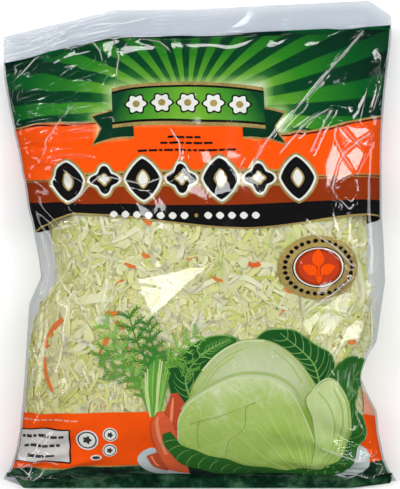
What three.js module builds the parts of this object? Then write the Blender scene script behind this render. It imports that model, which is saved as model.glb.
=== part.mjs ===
// A sealed pillow bag of shredded coleslaw, lying on its back with its printed front up.
// Millimetres, +Z up. X runs across the bag and +Y towards its clear top header.
// The origin is on the surface that the bag lies on, under the middle of its outline.
//
// The film is a tube: a loop of points round the bag at each of many stations along it. The
// loop keeps the same girth everywhere, so the bag is narrow where it is thick, and opens to
// its full flat width at the two seals.

import * as THREE from "three";

// Driving dimensions.
const FLAT_WIDTH = 208; // folded side to folded side, as the bag lies empty
const BODY_LENGTH = 233; // seal line to seal line
const BOTTOM_SEAL_AT = -122.5; // Y of the bottom seal line
const BELLY_HEIGHT = 53; // top of the plump part above the surface below
const SHEET = 1.2; // the two films of a seal, pressed together

// Where along the body it is thickest, and how its thickness falls to each seal:
// (1 - distance ** power) ** root, with the distance running from 0 at the belly to 1.
const BELLY_AT = 0.37;
const BOTTOM_END = { power: 2.6, root: 0.37 };
const TOP_END = { power: 2.2, root: 0.74 };

// The back lies flat, and lifts to each seal over a share of the body.
const PRESSED_FLAT = 2.5;
const BOTTOM_LIFT = { height: 7, share: 0.09 };
const TOP_LIFT = { height: 10.5, share: 0.34 };

// Cross-section: where the widest line is in its height, and how square each half is.
const WIDEST_AT = 0.42;
const FRONT_SQUARENESS = 2.3;
const BACK_SQUARENESS = 3.4;

// Seals. The header at the top is long and flat, and the bottom one is folded down.
const HEADER = { length: 14.2, drop: 1.5, crimps: 5, crimpHeight: 0.35 };
const FOOT = { length: 7.2, drop: 5.2, crimps: 2, crimpHeight: 0.3 };
const HEADER_WAVE = { height: 1.6, waves: 1.5, offset: 0.2 };

// The upper left corner has slumped towards the bottom, and the upper right stands off.
const LEFT_SLUMP = { from: -0.42, by: 14.5, sinks: 5.5 };
const RIGHT_STRETCH = 5.4;
const SLUMP_STARTS = 0.58; // share of the body under which nothing is slumped
const CURLED_CORNER = { from: 0.88, back: 9, down: 3 };

// The two ends of the foot stick out as ears, turned up along the bag.
const EARS = [
  { side: -1, from: 0.9, back: 4.6, out: 1.4 },
  { side: 1, from: 0.78, back: 3.4, out: 2.4 },
];

// The filling leans to the right by the middle of the bag.
const LEAN = { at: 0, by: 3.6, spread: 48 };
const HEADER_SWAY = -1; // the header lies a little to the left

// Buckles where a side of the film is drawn in, as a tent along Y.
const BUCKLES = [
  { side: -1, at: -17, depth: 5.8, above: 36, below: 14 },
  { side: 1, at: -68, depth: 9, above: 17, below: 20 },
  { side: 1, at: -20, depth: -3.2, above: 36, below: 40 },
];
const BUCKLE_REACH = 5; // power of the distance from the middle, so it stays near the side

// Creases in the taut front film: ridges from one point to another, across X and Y. Creases and
// bumps are full where the bag is this thick, and fade out towards the seals.
const CREASED_THICKNESS = 12;
const CREASES = [
  { from: [91, 112], to: [26, 34], rise: 2.4, reach: 7 },
  { from: [71, 74], to: [33, 33], rise: 1.8, reach: 6 },
  { from: [95, 88], to: [72, 27], rise: 1.8, reach: 6 },
  { from: [70, 68], to: [73, 24], rise: -1.4, reach: 6 },
  { from: [-64, 79], to: [-80, 40], rise: 2.0, reach: 7 },
  { from: [-53, 36], to: [-76, 9], rise: 1.8, reach: 7 },
  { from: [-62, 103], to: [-48, 92], rise: 1.8, reach: 6 },
  { from: [-76, -8], to: [-55, -38], rise: 1.8, reach: 6 },
  { from: [-47, -16], to: [-55, -38], rise: 1.2, reach: 6 },
  { from: [-40, -20], to: [9, -7], rise: 1.8, reach: 8 },
  { from: [9, -7], to: [-28, -41], rise: 1.8, reach: 8 },
  { from: [62, 4], to: [85, -15], rise: 2.0, reach: 7 },
  { from: [85, -15], to: [46, -42], rise: 2.0, reach: 7 },
  { from: [90, -68], to: [60, -64], rise: -2.4, reach: 9 },
  { from: [-98, -24], to: [-72, -30], rise: -1.8, reach: 8 },
];

// The shreds behind the clear window press low bumps into the film, as three sets of waves.
const WINDOW = { from: -85, to: 14, fade: 8, bump: 1.1 };
const BUMP_WAVES = [
  { toward: 24, pitch: 21 },
  { toward: 97, pitch: 17 },
  { toward: 151, pitch: 14 },
];

// Mesh: columns round the front and the back, and rows along the body.
const FRONT_COLUMNS = 62;
const BACK_COLUMNS = 24;
const BODY_ROWS = 54;
const ROW_CROWDING = { bottom: 1.7, top: 1.25 }; // powers that crowd rows towards each seal
const TRACE_STEPS = 160; // samples of a half section, from which even columns are taken
const WIDTH_HALVINGS = 24; // halvings of the range in which a section's width is looked for

const bagMaterial = new THREE.MeshStandardMaterial({
  color: 0xcfd3a2,
  roughness: 0.25,
  metalness: 0,
});

const clamp = (value, low, high) => Math.min(high, Math.max(low, value));
const smooth = (t) => {
  const c = clamp(t, 0, 1);
  return c * c * (3 - 2 * c);
};

// Thickness at a share of the body's length, from the bottom seal at 0 to the top one at 1.
function thickness(share) {
  if (share <= 0 || share >= 1) return SHEET;
  const below = share < BELLY_AT;
  const distance = below ? 1 - share / BELLY_AT : (share - BELLY_AT) / (1 - BELLY_AT);
  const { power, root } = below ? BOTTOM_END : TOP_END;
  const full = BELLY_HEIGHT + PRESSED_FLAT;
  return Math.max(SHEET, full * (1 - distance ** power) ** root);
}

// Height of the back at its middle, before the surface below flattens it.
function backHeight(share) {
  const bottom = clamp(1 - share / BOTTOM_LIFT.share, 0, 1) ** 2 * BOTTOM_LIFT.height;
  const top = clamp(1 - (1 - share) / TOP_LIFT.share, 0, 1) ** 2 * TOP_LIFT.height;
  const pressed = (PRESSED_FLAT * thickness(share)) / (BELLY_HEIGHT + PRESSED_FLAT);
  return bottom + top - pressed;
}

// One half of a cross-section, from its left edge to its right, as [x, z] points.
function traceHalf(halfWidth, side, crown, squareness) {
  const points = [];
  for (let i = 0; i <= TRACE_STEPS; i++) {
    const angle = (Math.PI * i) / TRACE_STEPS;
    const across = -Math.cos(angle);
    const x = Math.sign(across) * Math.abs(across) ** (2 / squareness);
    const rise = Math.sin(angle) ** (2 / squareness);
    points.push([halfWidth * x, Math.max(0, side + (crown - side) * rise)]);
  }
  return points;
}

function lengthOf(points) {
  let total = 0;
  for (let i = 1; i < points.length; i++)
    total += Math.hypot(points[i][0] - points[i - 1][0], points[i][1] - points[i - 1][1]);
  return total;
}

// The two halves of the section at a height, as wide as the girth of the film allows.
function sectionHalves(low, thick) {
  const side = low + WIDEST_AT * thick;
  let narrow = FLAT_WIDTH / 4;
  let wide = FLAT_WIDTH / 2;
  let halves;
  for (let step = 0; step < WIDTH_HALVINGS; step++) {
    const halfWidth = (narrow + wide) / 2;
    halves = [
      traceHalf(halfWidth, side, low + thick, FRONT_SQUARENESS),
      traceHalf(halfWidth, side, low, BACK_SQUARENESS),
    ];
    if (lengthOf(halves[0]) + lengthOf(halves[1]) > 2 * FLAT_WIDTH) wide = halfWidth;
    else narrow = halfWidth;
  }
  return { halves, halfWidth: narrow };
}

// Points spaced evenly along a traced half, both ends included.
function evenly(points, count) {
  const step = lengthOf(points) / count;
  const even = [points[0]];
  let walked = 0;
  for (let i = 1; i < points.length && even.length < count; i++) {
    const [ax, az] = points[i - 1];
    const [bx, bz] = points[i];
    const span = Math.hypot(bx - ax, bz - az);
    while (even.length < count && walked + span >= even.length * step) {
      const t = (even.length * step - walked) / span;
      even.push([ax + (bx - ax) * t, az + (bz - az) * t]);
    }
    walked += span;
  }
  even.push(points[points.length - 1]);
  return even;
}

// How far the side of the film is moved in or out at a place along the bag.
function buckle(side, y) {
  let shift = 0;
  for (const b of BUCKLES)
    if (b.side === side) {
      const reach = y > b.at ? b.above : b.below;
      shift += b.depth * Math.max(0, 1 - Math.abs(y - b.at) / reach);
    }
  return shift;
}

// Height of a crease at a point: a tent across it, fading towards both ends.
function creaseHeight(crease, x, y) {
  const [ax, ay] = crease.from;
  const [bx, by] = crease.to;
  const length = Math.hypot(bx - ax, by - ay);
  const ux = (bx - ax) / length;
  const uy = (by - ay) / length;
  const along = ((x - ax) * ux + (y - ay) * uy) / length;
  if (along <= 0 || along >= 1) return 0;
  const off = Math.abs((x - ax) * uy - (y - ay) * ux);
  const fade = 1 - (2 * along - 1) ** 2;
  return crease.rise * fade * Math.max(0, 1 - off / crease.reach);
}

// Low bumps of the packed shreds behind the window.
function shredBump(x, y) {
  let waves = 0;
  for (const { toward, pitch } of BUMP_WAVES) {
    const angle = THREE.MathUtils.degToRad(toward);
    const along = x * Math.cos(angle) + y * Math.sin(angle);
    waves += Math.cos((2 * Math.PI * along) / pitch) / BUMP_WAVES.length;
  }
  const inside =
    smooth((y - WINDOW.from) / WINDOW.fade) * smooth((WINDOW.to - y) / WINDOW.fade);
  return WINDOW.bump * inside * waves;
}

// Moves a point of the plain tube to where the slumped, creased film has it.
function settled(x, y, z, station) {
  const { share, low, thick, halfWidth, outward } = station;
  const u = x / halfWidth;
  const front = clamp((z - low - WIDEST_AT * thick) / ((1 - WIDEST_AT) * thick), 0, 1);
  const upper = smooth((share - SLUMP_STARTS) / (1 - SLUMP_STARTS));
  const left = Math.max(0, (LEFT_SLUMP.from - u) / (1 + LEFT_SLUMP.from));
  const corner = clamp((u - CURLED_CORNER.from) / (1 - CURLED_CORNER.from), 0, 1);
  const header = share >= 1 ? outward : 0;
  const foot = share <= 0 ? outward : 0;

  const side = u < 0 ? -1 : 1;
  let px = x + LEAN.by * Math.exp(-(((y - LEAN.at) / LEAN.spread) ** 2));
  px += HEADER_SWAY * upper - side * buckle(side, y) * Math.abs(u) ** BUCKLE_REACH;

  let py = y - LEFT_SLUMP.by * left * upper;
  py += RIGHT_STRETCH * Math.max(0, u) * upper - CURLED_CORNER.back * corner * header;
  for (const ear of EARS) {
    const raised = (foot * clamp(ear.side * u - ear.from, 0, 1)) / (1 - ear.from);
    px += ear.side * ear.out * raised;
    py += ear.back * raised;
  }

  let pz = z - LEFT_SLUMP.sinks * left * upper - CURLED_CORNER.down * corner * header;
  const wave = Math.sin(Math.PI * HEADER_WAVE.waves * (u + HEADER_WAVE.offset));
  pz += HEADER_WAVE.height * upper * wave;
  const body = smooth(thick / CREASED_THICKNESS) * Math.sqrt(front);
  for (const crease of CREASES) pz += body * creaseHeight(crease, x, y);
  pz += body * shredBump(x, y);
  // The back rests flat where it is pressed, and the two films of a seal stay a sheet apart.
  const least = front > 0 && thick <= SHEET ? SHEET : 0;
  return [px, py, z <= 0 ? 0 : Math.max(least, pz)];
}

// Share of the body's length at which a row lies: rows crowd towards the two seals.
function rowShare(t) {
  if (t < 0.5) return 0.5 * (2 * t) ** ROW_CROWDING.bottom;
  return 1 - 0.5 * (2 * (1 - t)) ** ROW_CROWDING.top;
}

// The stations along the bag: the foot's crimps, the body, and the header's crimps.
function stations() {
  const list = [];
  const fin = (seal, share, sealY, sealLow, way) => {
    const steps = 2 * seal.crimps;
    for (let i = 1; i <= steps; i++) {
      const outward = i / steps;
      const crimp = i % 2 && i < steps ? seal.crimpHeight : 0;
      const low = Math.max(0, sealLow - seal.drop * outward) + crimp;
      list.push({ share, outward, y: sealY + way * seal.length * outward, low, thick: SHEET });
    }
  };
  fin(FOOT, 0, BOTTOM_SEAL_AT, backHeight(0), -1);
  list.reverse();
  for (let i = 0; i <= BODY_ROWS; i++) {
    const share = rowShare(i / BODY_ROWS);
    const y = BOTTOM_SEAL_AT + BODY_LENGTH * share;
    list.push({ share, outward: 0, y, low: backHeight(share), thick: thickness(share) });
  }
  fin(HEADER, 1, BOTTOM_SEAL_AT + BODY_LENGTH, backHeight(1), 1);
  return list;
}

// The loop of a station: the front from left to right, then the back from right to left.
function loopOf(station) {
  const { halves, halfWidth } = sectionHalves(station.low, station.thick);
  const at = { ...station, halfWidth };
  const front = evenly(halves[0], FRONT_COLUMNS);
  const back = evenly(halves[1], BACK_COLUMNS).reverse().slice(1, -1);
  return [...front, ...back].map(([x, z]) => settled(x, station.y, z, at));
}

// Joins the loops into a closed tube, and closes each end with a flat-cut cap.
function bagGeometry() {
  const loops = stations().map(loopOf);
  const around = loops[0].length;
  const index = [];
  for (let row = 1; row < loops.length; row++)
    for (let i = 0; i < around; i++) {
      const a = (row - 1) * around + i;
      const b = (row - 1) * around + ((i + 1) % around);
      index.push(a, b, b + around, a, b + around, a + around);
    }
  const cap = (row, way) => {
    const outline = loops[row].map(([x, , z]) => new THREE.Vector2(x, z));
    for (const [a, b, c] of THREE.ShapeUtils.triangulateShape(outline, [])) {
      const base = row * around;
      index.push(base + a, base + (way > 0 ? b : c), base + (way > 0 ? c : b));
    }
  };
  cap(0, 1);
  cap(loops.length - 1, -1);
  const geometry = new THREE.BufferGeometry();
  geometry.setAttribute("position", new THREE.Float32BufferAttribute(loops.flat(2), 3));
  geometry.setIndex(index);
  geometry.computeBoundingBox();
  const middle = geometry.boundingBox.getCenter(new THREE.Vector3());
  geometry.translate(-middle.x, -middle.y, 0);
  geometry.computeVertexNormals();
  return geometry;
}

const bag = new THREE.Mesh(bagGeometry(), bagMaterial);
bag.name = "coleslaw_bag";

const part = new THREE.Group();
part.add(bag);

export default part;
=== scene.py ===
"""A sealed pillow bag of shredded coleslaw mix, lying on its back with its print up.

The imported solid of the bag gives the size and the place. This file dresses it: clear film
with its folds and seals, the print inside the film, and the shreds that show through it.

Lengths are in millimetres, in the frame of the solid, until mesh_piece() turns them into
metres. A place on the film has two flat coordinates, as on the film before it was filled:
"across" runs round the girth from the middle of the front, positive to the right, and
"along" runs from the bottom seal line towards the header.
"""

import math
from functools import lru_cache, partial

import bpy
import numpy as np
from bpy.props import FloatProperty, FloatVectorProperty, IntProperty, PointerProperty
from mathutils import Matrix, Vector


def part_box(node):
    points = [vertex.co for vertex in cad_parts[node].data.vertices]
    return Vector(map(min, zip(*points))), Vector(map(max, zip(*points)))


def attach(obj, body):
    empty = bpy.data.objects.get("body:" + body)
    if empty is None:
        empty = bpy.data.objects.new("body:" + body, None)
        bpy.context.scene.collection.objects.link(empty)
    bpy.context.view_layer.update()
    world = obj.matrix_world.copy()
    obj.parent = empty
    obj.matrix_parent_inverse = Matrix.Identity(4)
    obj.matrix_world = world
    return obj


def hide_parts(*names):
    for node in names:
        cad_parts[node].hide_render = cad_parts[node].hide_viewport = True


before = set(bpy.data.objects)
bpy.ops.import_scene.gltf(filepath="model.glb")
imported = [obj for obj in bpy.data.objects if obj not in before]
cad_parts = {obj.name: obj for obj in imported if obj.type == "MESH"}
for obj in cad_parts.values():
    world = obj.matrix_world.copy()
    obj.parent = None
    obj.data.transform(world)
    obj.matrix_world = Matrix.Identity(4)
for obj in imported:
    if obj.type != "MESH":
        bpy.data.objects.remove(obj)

bl_info = {
    "name": "Coleslaw Bag",
    "version": (1, 0, 0),
    "blender": (4, 5, 0),
    "location": "View3D > Sidebar > Coleslaw Bag",
    "description": "Makes a clear printed pillow bag full of shredded cabbage and carrot",
    "category": "Object",
}

MM = 0.001
NODE = "coleslaw_bag"
BODY = "root"
CAD_LOW, CAD_HIGH = (np.array(corner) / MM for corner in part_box(NODE))

# ---- The bag's plain form, as its solid has it.

FLAT_WIDTH = 208.0  # folded side to folded side, as the bag lies empty
GIRTH = 2 * FLAT_WIDTH
BODY_LENGTH = 233.0  # seal line to seal line, over the filled bag
BOTTOM_SEAL_AT = -122.5
BELLY_HEIGHT = 53.0
SHEET = 0.5  # the two films of a seal, pressed together
BELLY_AT = 0.37
BOTTOM_END = (2.6, 0.37)  # power and root of the fall in thickness to the seal
TOP_END = (2.2, 0.74)
PRESSED_FLAT = 2.5
BOTTOM_LIFT = (7.0, 0.09)  # height of the seal, and the share of the body that lifts
TOP_LIFT = (10.5, 0.34)
WIDEST_AT = 0.42
FRONT_SQUARENESS = 2.3
BACK_SQUARENESS = 3.4
HEADER_LENGTH = 14.2
HEADER_DROP = 1.5
FOOT_LENGTH = 7.2
FOOT_DROP = 5.2
HEADER_WAVE = (1.6, 1.5)  # height and number of waves
LEFT_SLUMP = (-0.42, 14.5, 5.5)  # from this share of the half width: back by, down by
RIGHT_STRETCH = 5.4
SLUMP_STARTS = 0.58
CURLED_CORNER = (0.88, 9.0, 3.0)
EARS = ((-1, 0.9, 4.6, 1.4), (1, 0.78, 3.4, 2.4))  # side, from, back by, out by
LEAN = (0.0, 3.6, 48.0)  # where along the bag, by how much, spread
HEADER_SWAY = -1.0
BUCKLES = ((-1, -17, 5.8, 36, 14), (1, -68, 9, 17, 20), (1, -20, -3.2, 36, 40))
BUCKLE_REACH = 5

# The film's grid: coarse cells while it settles, halved afterwards.
CELL = 2.4
FOOT_ROWS = round(FOOT_LENGTH / CELL)
HEAD_ROWS = round(HEADER_LENGTH / CELL)
TRACE_STEPS = 200
SETTLING_ROUNDS = 160
SEED = 11
RIPPLE = 0.9  # height of the random start of the folds
STIFFNESS = 0.05
SHEAR_STIFFNESS = 0.35
GIVES_IN = 1.6  # how far a fold may press into the filling
STANDS_OFF = 3.2
SIDE_FREEDOM = 0.12  # share of its folds that the film keeps at the sides of the bag
SIDE_REACH = 20.0
SLACK = 1.004  # the film between two of its folds is this much longer than the plain form

# Sharp folds: the places that each runs through, its height, and its reach to each side. A
# fold of height 0 is a crease line alone.
RIDGES = (
    (((90, 264), (79, 250), (69, 238), (59, 226), (44, 210), (33, 199), (28, 191), (25, 184)), 0.0, 2.6),
    (((72, 219), (57, 211), (48, 202), (38, 191)), 0.0, 2.6),
    (((72, 219), (65, 210), (55, 191)), 1.0, 2.4),
    (((97, 240), (99, 235), (95, 223), (91, 212)), 1.0, 2.4),
    (((72, 211), (70, 202), (74, 193), (71, 187), (67, 176), (69, 168)), 0.0, 2.4),
    (((72, 211), (82, 199), (94, 206)), 0.0, 2.4),
    (((88, 194), (82, 199), (74, 193), (81, 182)), 0.0, 2.4),
    (((67, 167), (71, 169), (76, 164), (82, 169)), 0.9, 2.4),
    (((48, 160), (57, 151), (67, 145), (77, 135), (81, 132)), 1.0, 2.6),
    (((81, 132), (74, 127), (56, 114), (48, 108)), 1.0, 2.6),
    (((72, 147), (77, 144), (86, 149)), 1.0, 2.4),
    (((-100, 249), (-92, 254), (-87, 260), (-76, 267)), 1.5, 3.0),
    (((-74, 265), (-62, 262), (-55, 264), (-51, 256), (-49, 246)), 1.2, 2.8),
    (((-99, 262), (-96, 256), (-99, 250)), 1.2, 2.6),
    (((-43, 261), (-41, 250), (-43, 235)), 0.8, 2.4),
    (((-34, 264), (-20, 260), (-16, 256), (-12, 250)), 1.0, 2.6),
    (((-105, 275), (-92, 273), (-74, 278)), 0.0, 2.4),
    (((-106, 270), (-88, 270), (-66, 276)), 0.0, 2.4),
    (((-98, 279), (-80, 275), (-58, 279)), 0.0, 2.4),
    (((-86, 268), (-66, 272), (-42, 270)), 0.0, 2.4),
    (((-60, 276), (-40, 273), (-22, 277)), 0.0, 2.4),
    (((-106, 262), (-98, 268), (-90, 266)), 0.0, 2.4),
    (((-106, -2), (-98, 8), (-90, 18), (-88, 30)), 0.0, 2.4),
    (((-104, 14), (-96, 4), (-86, -4)), 0.0, 2.4),
    (((-100, 30), (-92, 20), (-80, 12), (-74, -2)), 0.0, 2.4),
    (((-92, -4), (-84, 8), (-74, 22)), 0.0, 2.4),
    (((-68, -4), (-58, 8), (-40, 10), (-22, 4)), 0.0, 2.4),
    (((-30, 3), (0, 5), (26, 4), (54, 2), (80, 6)), 0.0, 2.4),
    (((-63, 229), (-69, 223), (-75, 216), (-81, 206), (-85, 193)), 0.9, 2.6),
    (
        ((-17, 211), (-11, 200), (-11, 193), (-16, 183), (-31, 178), (-53, 183), (-62, 175), (-72, 166)),
        0.9,
        2.6,
    ),
    (((-84, 154), (-67, 157), (-56, 152)), 0.9, 2.4),
    (((-69, 157), (-57, 153)), 1.0, 2.4),
    (((-80, 137), (-76, 128), (-70, 121), (-58, 110)), 1.0, 2.6),
    (((-49, 135), (-52, 116), (-54, 110)), 1.0, 2.4),
    (((-81, 127), (-85, 121)), 1.0, 2.4),
    (((-61, 84), (-56, 72)), 1.0, 2.4),
    (((88, 120), (94, 96), (90, 74)), 1.0, 2.8),
    (((-97, 96), (-90, 80), (-93, 60)), 1.0, 2.8),
    (((60, 40), (84, 30), (98, 34)), 1.0, 2.8),
    (((-98, 22), (-84, 30), (-70, 27)), 1.0, 2.8),
    (((-101, 3), (-93, 12), (-84, 20), (-80, 27)), 1.3, 2.8),
    (((-90, 2), (-82, 12), (-70, 14)), 1.2, 2.6),
    (((-74, 3), (-62, 13), (-48, 12)), 1.1, 2.6),
    (((84, 3), (92, 14), (99, 28)), 1.3, 2.8),
    (((72, 12), (84, 17), (94, 12)), 1.1, 2.6),
    (((130, 90), (150, 128), (144, 170)), 1.1, 3.0),
    (((-128, 70), (-150, 112), (-160, 150)), 1.1, 3.0),
    (((170, 210), (150, 232), (158, 258)), 1.1, 3.0),
    (((-176, 196), (-150, 224), (-140, 256)), 1.1, 3.0),
)

# Flat facets between folds: how smooth each is, and its corners in order round it (across,
# along), of which the first three also have a height over the plain form.
FACETS = (
    (1.0, ((-37, 130, -0.1), (8, 139, 1.0), (-27, 106, 1.2))),
    (0.5, ((57, 113, 0.0), (76, 110, 0.8), (79, 124, 1.0), (62, 122))),
    (0.35, ((57, 113, 0.1), (76, 110, 1.2), (68, 99, 0.7), (54, 98), (49, 106))),
    (0.4, ((70, 97, 0.6), (84, 96, 1.7), (88, 110, 1.0), (78, 108))),
    (1.0, ((91.5, 264, 1.6), (71, 237.5, -1.2), (67.5, 239.5, -0.4), (77.5, 252), (89, 264.5))),
    (1.0, ((70, 238.5, 0.3), (52, 216, 0.3), (48.5, 218.5, 1.0), (58, 230), (67, 240))),
    (1.0, ((52, 217, -0.7), (35, 198.5, 1.3), (31, 201, 2.2), (41, 212.5), (49, 219.5))),
    (1.0, ((35, 199, -1.0), (24, 183, 1.4), (21, 186, 2.1), (31, 201))),
    (1.0, ((71, 219.5, -0.6), (50, 203, 1.0), (47, 206, 1.6), (59, 214))),
    (0.9, ((74, 222, 0.7), (83, 216, 0.4), (79, 213, 0.4))),
    (0.9, ((-61, 86, -1.2), (-54, 71, 1.0), (-58, 70, 2.1), (-64, 83))),
    (0.8, ((72, 219, 0.4), (60, 213, 1.2), (66, 209, 0.5))),
    (0.8, ((-74, 265, -0.2), (-62, 266, 2.3), (-64, 260, 0.0))),
    (0.8, ((-92, 256, 0.6), (-87, 260, 1.9), (-94, 252, 0.1), (-99, 250))),
    (0.6, ((72, 211, -0.3), (94, 206, 2.2), (82, 199, 0.0))),
    (0.6, ((70, 202, 0.4), (72, 211, 0.7), (82, 199, 1.0), (74, 193))),
    (0.6, ((82, 199, -0.5), (94, 206, 1.7), (88, 194, 0.6))),
    (0.6, ((74, 193, -0.3), (82, 199, 0.1), (88, 194, 1.6), (81, 182))),
    (0.6, ((71, 187, 0.3), (74, 193, 0.1), (81, 182, 1.2), (67, 176))),
    (0.8, ((10, 192, 0.4), (17, 173, 0.6), (2, 169, 0.5))),
)
FACET_EDGE = 1.1
RIDGE_FADE = 6.0  # a fold dies out over this length at each end

# Small creases: short and bent, most of them towards the sides and the ends of the bag.
CREASE_COUNT = 110
CREASE_SEED = 5
CREASE_MARGIN = 4
CREASE_PARTS = (2, 5)  # straight parts in each: at least, and fewer than
CREASE_STEP = (4, 10)  # length of one part
CREASE_TURN = 0.45
CREASE_LEVELS = (0.3, 0.66)  # how strong they are beside a sharp fold

# The crisp line along each sharp fold and small crease, as relief in the film's finish.
CREASE_REACH = 0.9
CREASE_RISE = 0.62
CREASE_SPREAD = 2.2  # a crease is gone at this many times its reach


def smooth(t):
    """0 up to t = 0 and 1 from t = 1 on, with a soft rise between them."""
    t = np.clip(t, 0, 1)
    return t * t * (3 - 2 * t)


def unit(vectors):
    """Vectors at a length of 1."""
    return vectors / np.maximum(1e-9, np.linalg.norm(vectors, axis=-1, keepdims=True))


def thickness(share):
    """Thickness of the filled bag at a share of its body, from the bottom seal at 0."""
    below = share < BELLY_AT
    distance = np.where(below, 1 - share / BELLY_AT, (share - BELLY_AT) / (1 - BELLY_AT))
    power = np.where(below, BOTTOM_END[0], TOP_END[0])
    root = np.where(below, BOTTOM_END[1], TOP_END[1])
    full = (BELLY_HEIGHT + PRESSED_FLAT) * np.clip(1 - distance**power, 0, 1) ** root
    return np.maximum(SHEET, full)


def back_height(share):
    """Height of the back at its middle, before the surface below flattens it."""
    bottom = np.clip(1 - share / BOTTOM_LIFT[1], 0, 1) ** 2 * BOTTOM_LIFT[0]
    top = np.clip(1 - (1 - share) / TOP_LIFT[1], 0, 1) ** 2 * TOP_LIFT[0]
    return bottom + top - PRESSED_FLAT * thickness(share) / (BELLY_HEIGHT + PRESSED_FLAT)


@lru_cache(maxsize=None)
def body_length_of_film():
    """Length of the film from seal to seal over the front's middle, with its table."""
    share = np.linspace(0, 1, 6001)
    crown = back_height(share) + thickness(share)
    steps = np.hypot(np.diff(share) * BODY_LENGTH, np.diff(crown))
    walked = np.concatenate([[0], np.cumsum(steps)])
    return walked[-1], share, walked


def stations():
    """Rows of the film, evenly spaced along it: along, share, outward, y, low, thick."""
    length, share_table, walked = body_length_of_film()
    body_rows = round(length / CELL)
    along = length * np.arange(body_rows + 1) / body_rows
    share = np.interp(along, walked, share_table)
    out = np.arange(FOOT_ROWS, 0, -1) / FOOT_ROWS
    out_y = BOTTOM_SEAL_AT - FOOT_LENGTH * out
    low = np.maximum(0.0, back_height(0.0) - FOOT_DROP * out)
    foot = (-FOOT_LENGTH * out, 0 * out, out, out_y, low, SHEET + 0 * out)
    y = BOTTOM_SEAL_AT + BODY_LENGTH * share
    body = (along, share, 0 * share, y, back_height(share), thickness(share))
    out = np.arange(1, HEAD_ROWS + 1) / HEAD_ROWS
    out_y = BOTTOM_SEAL_AT + BODY_LENGTH + HEADER_LENGTH * out
    low = back_height(1.0) - HEADER_DROP * out
    head = (length + HEADER_LENGTH * out, 1 + 0 * out, out, out_y, low, SHEET + 0 * out)
    return [np.concatenate(column) for column in zip(foot, body, head)]


def trace_section(half_width, low, thick):
    """Closed cross-sections from the left edge over the front and back under, one a row."""
    angle = np.linspace(0, np.pi, TRACE_STEPS + 1)
    side = (low + WIDEST_AT * thick)[:, None]
    halves = []
    for squareness, crown in ((FRONT_SQUARENESS, low + thick), (BACK_SQUARENESS, low)):
        across = -np.cos(angle)
        x = np.sign(across) * np.abs(across) ** (2 / squareness)
        rise = np.sin(angle) ** (2 / squareness)
        x = half_width[:, None] * x[None]
        z = np.maximum(0, side + (crown[:, None] - side) * rise[None])
        halves.append((x, z))
    (front_x, front_z), (back_x, back_z) = halves
    x = np.concatenate([front_x, back_x[:, -2::-1]], 1)
    z = np.concatenate([front_z, back_z[:, -2::-1]], 1)
    walked = np.cumsum(np.hypot(np.diff(x), np.diff(z)), 1)
    walked = np.concatenate([np.zeros((len(x), 1)), walked], 1)
    return x, z, walked


def section_rows(low, thick, count):
    """Cross-sections as wide as the girth allows, evenly divided from the back's middle."""
    narrow = np.full(len(low), FLAT_WIDTH / 4)
    wide = np.full(len(low), FLAT_WIDTH / 2)
    for _ in range(26):
        middle = (narrow + wide) / 2
        too_long = trace_section(middle, low, thick)[2][:, -1] > GIRTH
        wide = np.where(too_long, middle, wide)
        narrow = np.where(too_long, narrow, middle)
    x, z, walked = trace_section(narrow, low, thick)
    even_x = np.empty((len(low), count))
    even_z = np.empty((len(low), count))
    for row in range(len(low)):
        girth = walked[row, -1]
        start = walked[row, TRACE_STEPS] / 2 - girth / 2
        at = (start + girth * np.arange(count) / count) % girth
        even_x[row] = np.interp(at, walked[row], x[row])
        even_z[row] = np.interp(at, walked[row], z[row])
    return even_x, even_z, narrow


def buckle(side, y):
    """How far a side of the film is drawn in at places along the bag."""
    shift = np.zeros_like(y)
    for of_side, at, depth, above, below in BUCKLES:
        reach = np.where(y > at, above, below)
        shift += (side == of_side) * depth * np.maximum(0, 1 - np.abs(y - at) / reach)
    return shift


def slumped(x, y, z, share, outward, half_width):
    """Moves the plain tube to where the slack, slumped film has it."""
    u = x / half_width
    upper = smooth((share - SLUMP_STARTS) / (1 - SLUMP_STARTS))
    start, back_by, down_by = LEFT_SLUMP
    left = np.maximum(0, (start - u) / (1 + start))
    curl_from, curl_back, curl_down = CURLED_CORNER
    corner = np.clip((u - curl_from) / (1 - curl_from), 0, 1) * (share >= 1) * outward
    place, by, spread = LEAN
    side = np.where(u < 0, -1, 1)
    px = x + by * np.exp(-(((y - place) / spread) ** 2)) + HEADER_SWAY * upper
    px = px - side * buckle(side, y) * np.abs(u) ** BUCKLE_REACH
    py = y - back_by * left * upper + RIGHT_STRETCH * np.maximum(0, u) * upper
    py = py - curl_back * corner
    for ear_side, start, back, out in EARS:
        raised = np.clip(ear_side * u - start, 0, 1) / (1 - start) * (share <= 0) * outward
        px = px + ear_side * out * raised
        py = py + back * raised
    height, waves = HEADER_WAVE
    pz = z - down_by * left * upper - curl_down * corner
    pz = pz + height * upper * np.sin(np.pi * waves * (u + 0.2))
    return np.stack([px, py, np.where(z <= 0, 0, np.maximum(0, pz))], -1)


def grid_normals(points):
    """Outward normals of a grid of rows that each close on themselves."""
    around = np.roll(points, -1, 1) - np.roll(points, 1, 1)
    return unit(np.cross(around, np.gradient(points, axis=0)))


def pull(step, rest, stiffness):
    """How far each end of a step moves to bring it towards its length in the flat film."""
    span = np.linalg.norm(step, axis=-1, keepdims=True)
    return 0.5 * stiffness * (1 - rest / np.maximum(span, 1e-6)) * step


def hold_length(points, axis, rest):
    """Pulls neighbours along an axis of the grid, which closes on itself along axis 1."""
    lines = points.swapaxes(0, axis)
    last = len(lines) - 1 if axis == 0 else len(lines)
    for parity in (0, 1):
        first = np.arange(parity, last, 2)
        second = (first + 1) % len(lines)
        move = pull(lines[second] - lines[first], rest, 1.0)
        lines[first] += move
        lines[second] -= move


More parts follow.
